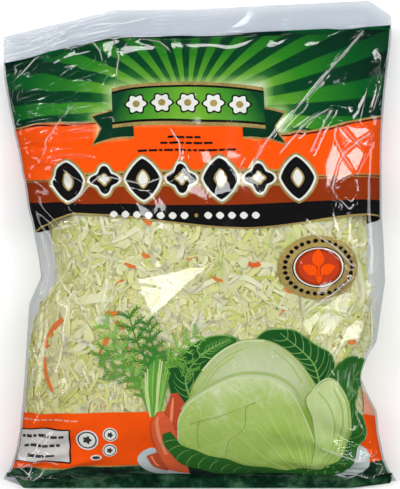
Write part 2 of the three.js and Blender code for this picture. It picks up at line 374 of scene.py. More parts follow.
def hold_shear(points, rest):
    """Keeps the diagonals of the grid's cells at their length in the flat film."""
    for parity in (0, 1):
        rows = np.arange(parity, len(points) - 1, 2)
        for turn in (1, -1):
            step = np.roll(points[rows + 1], -turn, 1) - points[rows]
            move = pull(step, rest, SHEAR_STIFFNESS)
            points[rows] += move
            points[rows + 1] -= np.roll(move, turn, 1)


def midpoints(points, axis):
    """Puts a new line between each two lines of a grid, on a smooth curve through them."""
    lines = points.swapaxes(0, axis)
    if axis == 0:
        padded = np.concatenate([lines[:1], lines, lines[-1:]])
    else:
        padded = np.concatenate([lines[-1:], lines, lines[:2]])
    between = (9 * (padded[1:-2] + padded[2:-1]) - padded[:-3] - padded[3:]) / 16
    out = np.empty((len(lines) + len(between), *lines.shape[1:]))
    out[::2] = lines
    out[1::2] = between
    return out.swapaxes(0, axis)


def settled(plain, length):
    """Lets the slack film fold: every cell goes back to its size in the flat film."""
    rng = np.random.default_rng(SEED)
    rows, columns = plain.shape[:2]
    step_around = GIRTH / columns
    step_along = length / round(length / CELL)
    diagonal = math.hypot(step_around, step_along)
    normal = grid_normals(plain)
    ripple = rng.normal(0, 1, (rows, columns))
    for _ in range(3):
        ripple = (ripple + np.roll(ripple, 1, 1) + np.roll(ripple, -1, 1)) / 3
        ripple[1:-1] = (ripple[:-2] + ripple[1:-1] + ripple[2:]) / 3
    points = plain + normal * (RIPPLE * ripple / ripple.std())[..., None]
    across = -GIRTH / 2 + step_around * np.arange(columns)
    from_side = np.abs(np.abs(across) - FLAT_WIDTH / 2)
    keeps = SIDE_FREEDOM + (1 - SIDE_FREEDOM) * smooth(from_side / SIDE_REACH)
    held = np.zeros(rows, bool)
    held[: FOOT_ROWS + 1] = True
    held[rows - HEAD_ROWS - 1 :] = True
    points[held] = plain[held]
    for _ in range(SETTLING_ROUNDS):
        hold_length(points, 0, SLACK * step_along)
        hold_length(points, 1, SLACK * step_around)
        hold_shear(points, SLACK * diagonal)
        bend = (points[:-2] + points[2:]) / 2 - points[1:-1]
        points[1:-1] += STIFFNESS * bend
        bend = (np.roll(points, 1, 1) + np.roll(points, -1, 1)) / 2 - points
        points += STIFFNESS * bend
        away = ((points - plain) * normal).sum(-1)
        kept = np.clip(away, -GIVES_IN, STANDS_OFF)
        points += normal * (kept - away)[..., None]
        points[..., 2] = np.maximum(points[..., 2], 0)
        points[held] = plain[held]
    return plain + (points - plain) * keeps[:, None]


def segment_distance(across, along, start, stop):
    """Distance of flat coordinates from a straight line between two places."""
    start, stop = np.array(start, float), np.array(stop, float)
    reach = stop - start
    share = ((across - start[0]) * reach[0] + (along - start[1]) * reach[1]) / (reach @ reach)
    share = np.clip(share, 0, 1)
    return np.hypot(across - start[0] - share * reach[0], along - start[1] - share * reach[1])


def left_of(start, stop, across, along):
    """How far places lie to the left of a straight line, times the length of the line."""
    return (stop[0] - start[0]) * (along - start[1]) - (stop[1] - start[1]) * (across - start[0])


def end_fade(places, across, along):
    """1 along a fold, falling to 0 at its first and its last place."""
    first, *_, last = places
    ends = np.minimum(
        np.hypot(across - first[0], along - first[1]),
        np.hypot(across - last[0], along - last[1]),
    )
    return smooth(ends / RIDGE_FADE)


def small_creases():
    """Random short creases all round the film: places, no height, a reach, and strength."""
    rng = np.random.default_rng(CREASE_SEED)
    length = body_length_of_film()[0]
    creases = []
    while len(creases) < CREASE_COUNT:
        across = rng.uniform(-GIRTH / 2, GIRTH / 2)
        along = rng.uniform(CREASE_MARGIN, length - CREASE_MARGIN)
        to_side = 1 - abs(abs(across) - FLAT_WIDTH / 2) / (FLAT_WIDTH / 2)
        to_end = abs(2 * along / length - 1)
        if rng.random() > 0.15 + 0.5 * to_side**2 + 0.5 * to_end**3:
            continue
        heading = rng.uniform(0, np.pi)
        places = [(across, along)]
        for _ in range(rng.integers(*CREASE_PARTS)):
            step = rng.uniform(*CREASE_STEP)
            across += step * math.cos(heading)
            along += step * math.sin(heading)
            heading += rng.normal(0, CREASE_TURN)
            places.append((across, along))
        if all(1 < place[1] < length - 1 for place in places):
            creases.append((places, 0.0, 1.0, rng.uniform(*CREASE_LEVELS)))
    return creases


def crease_field(across, along):
    """Height of the sharp folds, signed distance to the nearest crease, and its strength."""
    height = np.zeros_like(across)
    nearest = np.full_like(across, CREASE_SPREAD * CREASE_REACH + 1)
    signed = np.zeros_like(across)
    strength = np.zeros_like(across)
    folds = [(*ridge, 1.0) for ridge in RIDGES] + small_creases()
    for places, rise, reach, level in folds:
        fade = end_fade(places, across, along)
        for start, stop in zip(places, places[1:]):
            away = segment_distance(across, along, start, stop)
            height = np.maximum(height, rise * fade * np.clip(1 - away / reach, 0, 1))
            closer = away < nearest
            to_right = left_of(start, stop, across, along) < 0
            nearest = np.where(closer, away, nearest)
            signed = np.where(closer, np.where(to_right, -away, away), signed)
            shown = level * fade * np.clip(CREASE_SPREAD - away / CREASE_REACH, 0, 1)
            strength = np.where(closer, shown, strength)
    return height, signed, strength


def faceted(points, shape):
    """Pulls the film flat over each facet, and says how much of each point is facet."""
    across, along = np.meshgrid(shape.across, shape.along)
    facet = np.zeros_like(across)
    for calm, corners in FACETS:
        tip_a, tip_b, tip_c = (shape.plain_at(*corner) for corner in corners[:3])
        edges = [corner[:2] for corner in corners]
        a, b, c = edges[:3]
        area = left_of(a, b, *c)
        by_b = -left_of(a, c, across, along) / area
        by_c = left_of(a, b, across, along) / area
        by_a = 1 - by_b - by_c
        plane = by_a[..., None] * tip_a + by_b[..., None] * tip_b + by_c[..., None] * tip_c
        inside = np.full_like(across, 1e6)
        for start, stop in zip(edges, edges[1:] + edges[:1]):
            past = math.copysign(1, area) * left_of(start, stop, across, along)
            inside = np.minimum(inside, past / math.dist(start, stop))
        share = smooth(0.5 + inside / FACET_EDGE)[..., None]
        near = (share > 0) & (np.abs(across) < FLAT_WIDTH / 2)[..., None]
        points = np.where(near, points + (plane - points) * share, points)
        facet = np.maximum(facet, calm * share[..., 0] * near[..., 0])
    return points, facet


class Film:
    """The settled film as a grid, with the flat coordinates of its rows and columns."""

    def __init__(self):
        self.length = body_length_of_film()[0]
        columns = 2 * round(GIRTH / CELL / 2)
        rows, coarse = self.plain_form(columns)
        self.along = midpoints(rows, 0)
        self.across = -GIRTH / 2 + GIRTH * np.arange(2 * columns) / (2 * columns)
        self.plain = midpoints(midpoints(coarse, 0), 1)
        self.plain_normals = grid_normals(self.plain)
        folded = settled(coarse, self.length)
        points = midpoints(midpoints(folded, 0), 1)
        across, along = np.meshgrid(self.across, self.along)
        points, self.facet = faceted(points, self)
        height, self.signed, self.strength = crease_field(across, along)
        points = points + self.plain_normals * height[..., None]
        points[..., 2] = np.maximum(points[..., 2], 0)
        self.points = points
        self.normals = grid_normals(points)
        self.drop = ((self.plain - points) * self.plain_normals).sum(-1)

    def plain_form(self, columns):
        """Where each row lies along the flat film, and the plain form, in the solid's place."""
        along, share, outward, y, low, thick = stations()
        x, z, half_width = section_rows(low, thick, columns)
        y, share, outward, half_width = (
            value[:, None] * np.ones(columns) for value in (y, share, outward, half_width)
        )
        plain = slumped(x, y, z, share, outward, half_width)
        corners = plain.reshape(-1, 3)
        shift = (CAD_LOW + CAD_HIGH - corners.min(0) - corners.max(0)) / 2
        plain[..., :2] += shift[:2]
        return along, plain

    def on_grid(self, points, normals, across, along, inset):
        """Values of a grid between its points, moved in along the normals by an inset."""
        inset = np.asarray(inset, float)[..., None]
        column = (across + GIRTH / 2) / (self.across[1] - self.across[0])
        row = np.interp(along, self.along, np.arange(len(self.along)))
        left = np.floor(column).astype(int)
        below = np.minimum(np.floor(row).astype(int), len(self.along) - 2)
        s = (column - left)[..., None]
        t = (row - below)[..., None]
        left = left % len(self.across)
        right = (left + 1) % len(self.across)
        placed = 0
        for row_index, row_share in ((below, 1 - t), (below + 1, t)):
            for column_index, column_share in ((left, 1 - s), (right, s)):
                corner = points[row_index, column_index] - inset * normals[row_index, column_index]
                placed = placed + row_share * column_share * corner
        return placed

    def at(self, across, along, inset=0.0):
        """Places of flat coordinates on the settled film, or inside it by an inset."""
        return self.on_grid(self.points, self.normals, across, along, inset)

    def inside(self, across, along, depth):
        """Places at a depth under the plain form, where the filling lies."""
        return self.on_grid(self.plain, self.plain_normals, across, along, depth)

    def plain_at(self, across, along, height):
        """One place at a height over the plain form."""
        return self.inside(np.array([float(across)]), np.array([float(along)]), -height)[0]

    def sunk(self, across, along):
        """How far the settled film lies inside the plain form."""
        depth = self.drop[..., None]
        return self.on_grid(depth, np.zeros_like(depth), across, along, 0.0)[..., 0]

    def outward(self, across, along):
        """Outward directions of the plain form."""
        return unit(self.on_grid(self.plain_normals, np.zeros_like(self.plain), across, along, 0.0))


@lru_cache(maxsize=None)
def film():
    """The one settled film that every piece is laid on or under."""
    return Film()


# ---- Meshes and materials.


def add_object(name, data):
    """Puts a new object with some data in the scene."""
    made = bpy.data.objects.new(name, data)
    bpy.context.scene.collection.objects.link(made)
    return made


def mesh_piece(name, points, faces, materials, face_materials=None, values=None):
    """Makes a piece of the bag from points in millimetres, riding with the bag."""
    mesh = bpy.data.meshes.new(name)
    faces = faces.tolist() if isinstance(faces, np.ndarray) else faces
    mesh.from_pydata((np.asarray(points).reshape(-1, 3) * MM).tolist(), [], faces)
    for material in materials:
        mesh.materials.append(material)
    if face_materials is not None:
        mesh.polygons.foreach_set("material_index", np.asarray(face_materials, np.int32))
    for key, value in (values or {}).items():
        kind = "FLOAT" if np.ndim(value) == 1 else "FLOAT_VECTOR"
        layer = mesh.attributes.new(key, kind, "POINT")
        layer.data.foreach_set("value" if kind == "FLOAT" else "vector", np.ravel(value))
    mesh.polygons.foreach_set("use_smooth", np.full(len(mesh.polygons), True))
    mesh.update()
    piece = add_object(name, mesh)
    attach(piece, BODY)
    return piece


def triples(first, second, third=0.0):
    """Three values for each point, in one row a point."""
    return np.stack(np.broadcast_arrays(first, second, third), -1).reshape(-1, 3)


def grid_faces(rows, columns, closed=False):
    """Quads of a grid of points, joined round its rows where they are closed."""
    index = np.arange(rows * columns).reshape(rows, columns)
    right = np.roll(index, -1, 1)
    quads = np.stack([index[:-1], right[:-1], right[1:], index[1:]], -1)
    if not closed:
        quads = quads[:, :-1]
    return quads.reshape(-1, 4)


def linear(red, green, blue):
    """A colour as it shows on a screen, 0 to 255, in Blender's linear light."""
    channels = []
    for level in (red, green, blue):
        c = level / 255
        channels.append(c / 12.92 if c <= 0.04045 else ((c + 0.055) / 1.055) ** 2.4)
    return tuple(channels)


def shades(*rows):
    """Stops of a ramp, each from a level and a colour as it shows on a screen."""
    return [(level, linear(*colour)) for level, *colour in rows]


class Finish:
    """A material in the making, with short ways to add and link its nodes."""

    def __init__(self, name):
        self.material = bpy.data.materials.new(name)
        self.material.use_nodes = True
        self.tree = self.material.node_tree
        self.tree.nodes.clear()

    def node(self, kind, inputs=None, **settings):
        """Adds a node; each input is a value or the socket that feeds it."""
        made = self.tree.nodes.new("ShaderNode" + kind)
        for key, value in settings.items():
            setattr(made, key, value)
        for key, value in (inputs or {}).items():
            if isinstance(value, bpy.types.NodeSocket):
                self.tree.links.new(value, made.inputs[key])
            else:
                made.inputs[key].default_value = value
        return made

    def math(self, operation, first, second=0.0, third=0.0):
        """One sum, product or other function of up to three values."""
        made = self.node("Math", {0: first, 1: second, 2: third}, operation=operation)
        return made.outputs[0]

    def times(self, first, second):
        """One value times another."""
        return self.math("MULTIPLY", first, second)

    def scaled(self, value, factor, added):
        """A value times a factor, and something added."""
        return self.math("MULTIPLY_ADD", value, factor, added)

    def minus(self, first, second):
        """One value less another."""
        return self.math("SUBTRACT", first, second)

    def size(self, value):
        """A value without its sign."""
        return self.math("ABSOLUTE", value)

    def parts(self, attribute):
        """The three values that each point of the mesh has under a name."""
        place = self.node("Attribute", attribute_name=attribute).outputs["Vector"]
        return self.node("SeparateXYZ", {0: place}).outputs

    def flat(self):
        """The across and along sockets of the flat film."""
        across, along, _ = self.parts("flat")
        return across, along

    def away_from(self, place):
        """How far across and along from a place on the flat film."""
        return [self.minus(socket, at) for socket, at in zip(self.flat(), place)]

    def squares(self, first, second):
        """The sum of two squares."""
        return self.scaled(first, first, self.times(second, second))

    def rise(self, value, start, stop, most=1.0, kind="SMOOTHSTEP"):
        """0 where a value is at its start, rising to the most where it is at its stop."""
        span = {"Value": value, "From Min": start, "From Max": stop, "To Max": most}
        return self.node("MapRange", span, interpolation_type=kind).outputs["Result"]

    def noise(self, scale, detail=3.0, where=None, roughness=0.5):
        """Soft noise with a scale in cycles a metre."""
        if where is None:
            where = self.node("TexCoord").outputs["Object"]
        inputs = {"Vector": where, "Scale": scale, "Detail": detail, "Roughness": roughness}
        return self.node("TexNoise", inputs).outputs["Fac"]

    def from_box(self, middle, half):
        """Distance outside an upright box on the flat film, in millimetres."""
        out = []
        for away, reach in zip(self.away_from(middle), half):
            past = self.minus(self.size(away), reach)
            out.append(self.math("MAXIMUM", past, 0.0))
        return self.math("SQRT", self.squares(*out))

    def from_boxes(self, boxes):
        """Distance outside the nearest of some boxes, each (middle, half size)."""
        nearest = self.from_box(*boxes[0])
        for middle, half in boxes[1:]:
            nearest = self.math("MINIMUM", nearest, self.from_box(middle, half))
        return nearest

    def fibres(self, root):
        """Streaks that run out from a root on the flat film."""
        dx, dy = self.away_from(root)
        reach = self.math("SQRT", self.squares(dx, dy))
        turn = self.times(self.math("ARCTAN2", dy, dx), FIBRES_A_TURN)
        place = self.node("CombineXYZ", {"X": turn, "Y": self.times(reach, 0.06)})
        return self.noise(1.0, 4.0, place.outputs["Vector"], 0.6)

    def creases(self, scale, width):
        """A level surface, 1, with narrow valleys down to 0 that wander over it."""
        away = self.size(self.minus(self.noise(scale, 1.0), 0.5))
        return self.times(self.math("MINIMUM", away, width), 1 / width)

    def leaf_network(self):
        """Fine wandering veins of two sizes: 1 between them, and less on each vein."""
        return self.times(self.creases(55, 0.035), self.creases(120, 0.03))

    def ramp(self, value, stops):
        """A colour for each level of a value, from (level, colour) stops."""
        made = self.node("ValToRGB", {"Fac": value})
        while len(made.color_ramp.elements) < len(stops):
            made.color_ramp.elements.new(0.5)
        for element, (level, colour) in zip(made.color_ramp.elements, stops):
            element.position = level
            element.color = (*colour, 1)
        return made.outputs["Color"]

    def mix(self, share, first, second, blend="MIX"):
        """A share of the second colour over the first, or blended with it."""
        made = self.node("Mix", data_type="RGBA", blend_type=blend)
        for number, value in ((0, share), (6, first), (7, second)):
            socket = made.inputs[number]
            if isinstance(value, bpy.types.NodeSocket):
                self.tree.links.new(value, socket)
            else:
                socket.default_value = (*value, 1) if isinstance(value, tuple) else value
        return made.outputs[2]

    def bump(self, height, distance, strength=1.0, normal=None):
        """Relief over the surface, or over the relief that it has already."""
        inputs = {"Height": height, "Distance": distance, "Strength": strength}
        if normal is not None:
            inputs["Normal"] = normal
        return self.node("Bump", inputs).outputs["Normal"]

    def over(self, share, under, upper):
        """A share of one shader over another."""
        return self.node("MixShader", {0: share, 1: under, 2: upper}).outputs["Shader"]

    def dull(self, colour):
        """A matt shader of one colour."""
        return self.node("BsdfDiffuse", {"Color": (*colour, 1)}).outputs["BSDF"]

    def end(self, shader):
        """Makes a shader the surface, and gives the finished material."""
        output = self.node("OutputMaterial")
        self.tree.links.new(shader, output.inputs["Surface"])
        return self.material

    def principled(self, colour, roughness, normal=None, **sockets):
        """Ends the material as a solid surface."""
        inputs = {"Base Color": colour, "Roughness": roughness, **sockets}
        if normal is not None:
            inputs["Normal"] = normal
        return self.end(self.node("BsdfPrincipled", inputs).outputs["BSDF"])

    def ink(self, colour):
        """Ends the material as an ink, dull because the film over it carries the gloss."""
        return self.principled(colour, INK_ROUGHNESS, **{"Specular IOR Level": 0.0})


# ---- Flat shapes of the print. Each is (points, faces), with points (across, along).

PRINT_CELL = 1.3
LAYER = 0.14  # each layer of ink lies this much further inside the film
FIRST_LAYER = 0.18
DETAIL = 0.45  # fine lines lie this many layers over what they are printed on


def flowing(*crests):
    """A wavy line across the film: level at each (across, along) crest and trough."""
    places = np.array(sorted(crests), float)

    def line(across):
        wrapped = (across + GIRTH / 2) % GIRTH - GIRTH / 2
        first = np.clip(np.searchsorted(places[:, 0], wrapped) - 1, 0, len(places) - 2)
        start, stop = places[first], places[first + 1]
        share = (wrapped - start[..., 0]) / (stop[..., 0] - start[..., 0])
        return start[..., 1] + (stop[..., 1] - start[..., 1]) * smooth(share)

    return line


def raised(line, by):
    """A line across the film, moved along it."""
    return lambda across: line(across) + by


def level_line(along):
    """A straight line across the film."""
    return lambda across: along + 0 * across


def band(low, high, start=-GIRTH / 2, stop=GIRTH / 2):
    """The area between two lines across the film."""
    columns = max(2, round((stop - start) / PRINT_CELL) + 1)
    across = np.linspace(start, stop, columns)
    floor = low(across)
    height = high(across) - floor
    rows = max(2, math.ceil(height.max() / PRINT_CELL) + 1)
    share = np.linspace(0, 1, rows)[:, None]
    along = floor + height * share
    points = np.stack([np.broadcast_to(across, along.shape), along], -1)
    return points.reshape(-1, 2), grid_faces(rows, columns).tolist()


def disc(centre, radius, spokes=48):
    """A round shape whose radius may depend on the direction."""
    angle = 2 * np.pi * np.arange(spokes) / spokes
    reach = radius(angle) if callable(radius) else np.full(spokes, float(radius))
    rim = np.stack([reach * np.cos(angle), reach * np.sin(angle)], -1)
    return fan(np.array(centre, float), rim, max(1, math.ceil(reach.max() / PRINT_CELL)))


def ellipse(wide, high, share=1.0):
    """Radius of an ellipse, or of a smaller one like it."""
    wide, high = wide * share, high * share
    return lambda angle: wide * high / np.hypot(high * np.cos(angle), wide * np.sin(angle))


def lozenge(wide, high, power=1.3):
    """Radius of a pointed leaf-like lozenge."""

    def radius(angle):
        x = np.abs(np.cos(angle)) / wide
        y = np.abs(np.sin(angle)) / high
        return (x**power + y**power) ** (-1 / power)

    return radius


def rosette(size, petals, depth):
    """Radius of a flower with round petals."""
    return lambda angle: size * (1 - depth + depth * np.cos(petals * angle))


def outset(radius, by):
    """Radius of a shape grown all round."""
    return lambda angle: radius(angle) + by


def rings(centre, rows, spokes=48):
    """Shapes on one centre, as (shape, ink, layer), from rows of (radius, ink, layer)."""
    return [(disc(centre, radius, spokes), ink, layer) for radius, ink, layer in rows]


def strip(spine, half_width):
    """A shape along a spine of points, as wide at each as half_width says to each side."""
    spine = np.asarray(spine, float)
    along = unit(np.gradient(spine, axis=0))
    side = np.stack([-along[:, 1], along[:, 0]], -1)
    half_width = np.broadcast_to(half_width, len(spine)).astype(float)
    columns = max(2, math.ceil(2 * half_width.max() / PRINT_CELL) + 1)
    share = np.linspace(1, -1, columns)
    points = spine[:, None] + side[:, None] * half_width[:, None, None] * share[None, :, None]
    return points.reshape(-1, 2), grid_faces(len(spine), columns).tolist()


def bent_line(start, stop, bend, steps):
    """Points from start to stop on a curve that bows to its left by a share of its length."""
    start, stop = np.array(start, float), np.array(stop, float)
    t = np.linspace(0, 1, steps)[:, None]
    reach = stop - start
    side = np.array([-reach[1], reach[0]])
    return start + reach * t + side * bend * 4 * t * (1 - t)


def curve(places, steps, closed=False):
    """Points on a smooth line through places."""
    places = np.array(places, float)
    if closed:
        spans = len(places)
        padded = np.concatenate([places[-1:], places, places[:2]])
        t = spans * np.arange(steps) / steps
    else:
        spans = len(places) - 1
        before, after = 2 * places[:1] - places[1:2], 2 * places[-1:] - places[-2:-1]
        padded = np.concatenate([before, places, after])
        t = np.linspace(0, spans, steps)
    i = np.minimum(np.floor(t).astype(int), spans - 1)
    s = (t - i)[:, None]
    before, start, stop, after = (padded[i + number] for number in range(4))
    slope = stop - before
    sag = 2 * before - 5 * start + 4 * stop - after
    twist = 3 * (start - stop) + after - before
    return start + 0.5 * (slope * s + sag * s**2 + twist * s**3)


def drawn(places, widths, ink, layer, steps=30):
    """A line through places, its half width going from the first of two to the second."""
    return strip(curve(places, steps), np.linspace(*widths, steps)), ink, layer


def fan(centre, rim, rings):
    """Points from a centre out to a rim in some rings, and their faces."""
    share = np.arange(1, rings + 1)[:, None, None] / rings
    points = np.concatenate([[centre], (centre + share * rim).reshape(-1, 2)])
    spokes = len(rim)
    faces = [(0, 1 + i, 1 + (i + 1) % spokes) for i in range(spokes)]
    if rings > 1:
        faces += (grid_faces(rings, spokes, closed=True)[:, ::-1] + 1).tolist()
    return points, faces


def patch(places):
    """The area inside a smooth closed line through places, all of it in sight of its middle."""
    edge = curve(places, 10 * len(places), closed=True)
    centre = edge.mean(0)
    out = edge - centre
    reach = np.linalg.norm(out, axis=1).max()
    return fan(centre, out, math.ceil(reach / PRINT_CELL))


def artwork(name, shapes, inks):
    """Lays flat shapes on the inside of the film as one piece. Shapes: (shape, ink, layer)."""
    points, faces, face_inks, flat = [], [], [], []
    order = list(inks)
    count = 0
    for (outline, shape_faces), ink, layer in shapes:
        points.append(film().at(*outline.T, FIRST_LAYER + LAYER * layer))
        flat.append(outline)
        faces += [[corner + count for corner in face] for face in shape_faces]
        face_inks += [order.index(ink)] * len(shape_faces)
        count += len(outline)
    values = {"flat": triples(*np.concatenate(flat).T)}
    return mesh_piece(name, np.concatenate(points), faces, inks.values(), face_inks, values)


# ---- The lay-out of the print, in flat coordinates.

PRINT_TOP = 266.4  # at the top seal line
SUN_AT = (-6.0, 218.0)
SUN_RAYS = 28
GLOW_REACH = 68.0  # from the name plate to where the rays are darkest
GREEN_EDGE = flowing(
    (-208, 206), (-104, 218.5), (-46, 214.5), (20, 213), (42, 204.5), (104, 213), (208, 206)
)
HAIRLINE = flowing((-208, 183), (-104, 183), (0, 180.2), (104, 183), (208, 183))
RUST_EDGE = flowing((-208, 169.5), (-104, 169.5), (0, 167.1), (104, 169.8), (208, 169.5))
WAVE_EDGE = flowing(
    (-208, 158), (-160, 161), (-104, 153), (-66, 162.3), (22, 154.6), (90, 161.5), (150, 154),
    (208, 158),
)
FOOT_PANEL_TOP = flowing((-208, 56), (-104, 57.4), (0, 60.2), (104, 56.2), (208, 56))
FOOT_LINE = flowing((-208, 24), (-104, 23), (-30, 26), (60, 27), (104, 29), (208, 24))
FOOT_LINE_SPAN = (-98, 90)
FOOT_STRIP_LOW = -7.0
CLEAR_CORNERS = ((-1, 10.0), (1, 3.5))  # side, and width of the clear corner there
EAR_HEIGHT = 15.0
PLATE_LEFT = -45.5
PLATE_RIGHT = 34.0
PLATE_MIDDLE = (PLATE_LEFT + PLATE_RIGHT) / 2
PLATE_WIDTH = PLATE_RIGHT - PLATE_LEFT
PLATE_TOP = (232.6, 3.4)  # where the edge starts at the left, and how far it arches
PLATE_LOW = (209.6, 1.6)
PLATE_SLOPE = -0.03
PLATE_RIMS = (("gold", 0.0), ("black", 2.0), ("plate_green", 3.3))
ROSETTE_COUNT = 5
ROSETTE_PITCH = 13.4
RIBBON_TAILS = ((-1, PLATE_LEFT - 12, PLATE_LEFT + 11), (1, PLATE_RIGHT + 11, PLATE_RIGHT - 12))
RIBBON_RIMS = (("gold", 0.0, 4.6), ("black", -1.2, 4.0), ("dark_green", -1.6, 3.4))
RIBBON_MIDDLE = 212.0
RIBBON_HALF = 8.6
RIBBON_NOTCH = 5.5
RIBBON_CELL = 0.6  # the long fold crosses the ribbon, so it follows the film more closely
HALO_BOXES = (((-5.7, 222), (38.5, 9.5)), ((-46, 211.5), (7, 6)), ((35, 210), (7, 6)))
ORNAMENT_PITCH = 20.0
ORNAMENT_COUNT = 7
ORNAMENTS_FROM = -71.0
ORNAMENTS_AT = 181.0
PEARL_COUNT = 13
PEARL_PITCH = 6.1
PEARLS_FROM = -47
GOLD_PEARL = 7
PEARLS_AT = 161.6
PEARLS_TURN = (10, 0.000004)  # where their row is level, and how fast it turns away from there
SMALL_PRINT = ((-17, 0, 203.6), (-21, 6, 200.4), (-33, 18, 196.4))  # start, stop, along
BAR_LENGTHS = (1.5, 5.5)
BAR_GAP = 0.9
EMBLEM_AT = (58.8, 134.6)
EMBLEM_SIZE = (21.9, 16.5)
EMBLEM_RINGS = (("gold", 1.0), ("black", 0.64), ("cream", 0.61), ("rust", 0.575), ("ember", 0.5))
EMBLEM_LEAVES = (  # base and tip from the emblem's middle, and half width
    ((0, 0.6), (-0.3, 9.4), 3.3),
    ((-1.0, -2.4), (-8.8, 0.9), 2.7),
    ((1.0, -2.6), (8.8, 0.4), 2.7),
)
EMBLEM_STEM_FROM = (0.4, -8.2)
EMBLEM_STEMS_TO = ((0.0, 0.8), (-2.2, -2.0), (2.2, -2.2))
EMBLEM_DOTS = 30
LABEL_BOX = (-100.5, -67.5, 30.5, 50.5)  # left, right, low, high
LABEL_SLOPE = 0.02
LABEL_ROWS = ((-97.5, -70.5, 46.2), (-95, -73, 40.6), (-92.5, -75.5, 35.0))  # start, stop, along
LABEL_HEADING = ((-99, -63), 54.2)
ROUND_MARKS = ((-58.4, 42.6, 5.9), (-46.1, 46.4, 4.0), (-46.4, 37.0, 3.9))  # place and radius
OVAL_MARK = (-53.6, 32.6)
HEAD_AT = (29.0, 78.0)  # the palest part of the cabbage, and how far it fades to each side
HEAD_SIZE = (36.0, 26.0)
WRAP_ROOT = (60.0, 4.0)  # where the fibres of the front leaf run together
SIDE_LEAF_ROOT = (66, 6)
LEAF_BOTTOM = 10  # where both leaves are greenest
FIBRES_A_TURN = 24.0
INK_ROUGHNESS = 0.55

FILM_TINT = (0.872, 0.886, 0.900)
SIDE_TINT = (0.79, 0.81, 0.83)  # the empty sides are folded double
SIDE_TINTED = 22.0
HEADER_TINT = (0.85, 0.872, 0.898)  # the header's film is doubled and a little cloudy
FILM_HAZE = (0.8, 0.86, 0.92)
HAZE_SHARE = 0.002
CREASE_HIGHLIGHT_PAINT = (0.86, 0.88, 0.84)  # painted highlight along sharp creases, for their glare and the film's whitening there
HIGHLIGHT_LINE_HALF = 0.62  # half the width of the painted highlight line
HIGHLIGHTED_FROM = 0.5  # weaker creases get no painted highlight
MOST_HIGHLIGHT = 0.4
FILM_INDEX = 1.5  # how strongly the film bends light
MOST_GLARE = 0.075  # share of the light that the film throws back at a flat angle
CRIMP_PITCH = 2.2
CRIMPS_FROM = 74.0
LEFT_SHADE_TINT = (0.87, 0.82, 0.70)  # painted shade: the cut vegetables are a little darker and yellower towards the left side, where the folded film shades them
LEFT_SHADE_FROM = -88.0
LEFT_SHADE_TO = -48.0

SEAM_WIDTH = 10.0
SEAM_INSET = 0.25

# The stops of the two streaked leaves, greenest first.
WRAP_STOPS = shades(
    (0.0, 134, 172, 62), (1 / 3, 160, 190, 88), (2 / 3, 176, 198, 110), (1.0, 208, 218, 172)
)
SIDE_LEAF_STOPS = shades((0.0, 150, 184, 82), (0.5, 190, 208, 136), (1.0, 206, 218, 162))

CHOSEN_INKS = ("orange", "rust", "black", "gold", "dark_green", "cream")  # as the settings have them

# The further inks of the print, each as it shows on a screen.
INK_COLOURS = {
    "ember": (198, 62, 26),
    "peach": (240, 168, 136),
    "crack": (140, 166, 84),
    "arc_green": (158, 188, 92),
    "head_shade": (168, 188, 118),
    "carrot_dark": (196, 78, 44),
    "grey": (60, 58, 56),
    "label_grey": (214, 207, 200),
    "pale_grey": (196, 204, 200),
    "leaf": (42, 102, 34),
    "leaf_vein": (120, 165, 84),
    "frond": (98, 152, 58),
    "frond_deep": (62, 128, 46),
    "carrot": (224, 98, 56),
    "carrot_rim": (190, 80, 44),
    "carrot_shine": (240, 142, 100),
    "leaf_dark": (26, 84, 32),
    "leaf_edge": (206, 218, 164),
    "leaf_fibre": (182, 203, 118),
    "frond_light": (134, 184, 84),
    "stalk": (196, 214, 140),
    "stalk_green": (100, 164, 60),
}


# ---- Sizes and colours that a user would change.


def length_setting(name, description, millimetres):
    """A length that a user may change, with its usual value."""
    default = millimetres * MM
    return FloatProperty(name=name, description=description, default=default, min=0.0, unit="LENGTH")


def count_setting(name, description, default):
    """A whole number that a user may change."""
    return IntProperty(name=name, description=description, default=default, min=0)


def colour_setting(name, description, *screen_colour):
    """An ink that a user may change, with its usual colour as it shows on a screen."""
    limits = {"min": 0.0, "max": 1.0, "size": 3, "subtype": "COLOR"}
    default = linear(*screen_colour)
    return FloatVectorProperty(name=name, description=description, default=default, **limits)


class FillingSettings(bpy.types.PropertyGroup):
    cabbage: count_setting("Cabbage shreds", "Number of fine cabbage shreds", 4700)
    flakes: count_setting("Leaf pieces", "Number of wider pieces of leaf", 850)
    carrot: count_setting("Carrot shreds", "Number of carrot shreds", 52)
    shred_width: length_setting("Shred width", "Width that the cabbage is cut to", 2.1)
    shred_length: length_setting("Shred length", "Usual length of a cabbage shred", 23)
    seed: count_setting("Seed", "Seed of every random draw of the filling", 4)


class PrintSettings(bpy.types.PropertyGroup):
    orange: colour_setting("Orange", "Ink of the middle and lower bands", 253, 86, 6)
    rust: colour_setting("Rust", "Ink of the dark band over the window", 149, 52, 10)
    black: colour_setting("Black", "Ink of the waved band and the ornaments", 14, 13, 13)
    gold: colour_setting("Gold", "Ink of the fine lines and rims", 170, 146, 84)
    dark_green: colour_setting("Dark green", "Ink of the rays and the foot", 4, 52, 28)
    cream: colour_setting("Cream", "Ink of the small light shapes", 232, 232, 222)


class StageSettings(bpy.types.PropertyGroup):
    camera_height: length_setting("Camera height", "Height of the camera over the floor", 1100)
    frame_height: length_setting("Frame height", "What the picture takes in, top to bottom", 256.2)
    light_distance: length_setting("Light distance", "From the bag to each softbox", 1500)
    light_level: FloatProperty(
        name="Light level",
        description="Share of their full power that all lights give",
        default=1.0,
        min=0.0,
    )


SETTINGS = {
    "coleslaw_filling": FillingSettings,
    "coleslaw_print": PrintSettings,
    "coleslaw_stage": StageSettings,
}


# ---- Finishes.


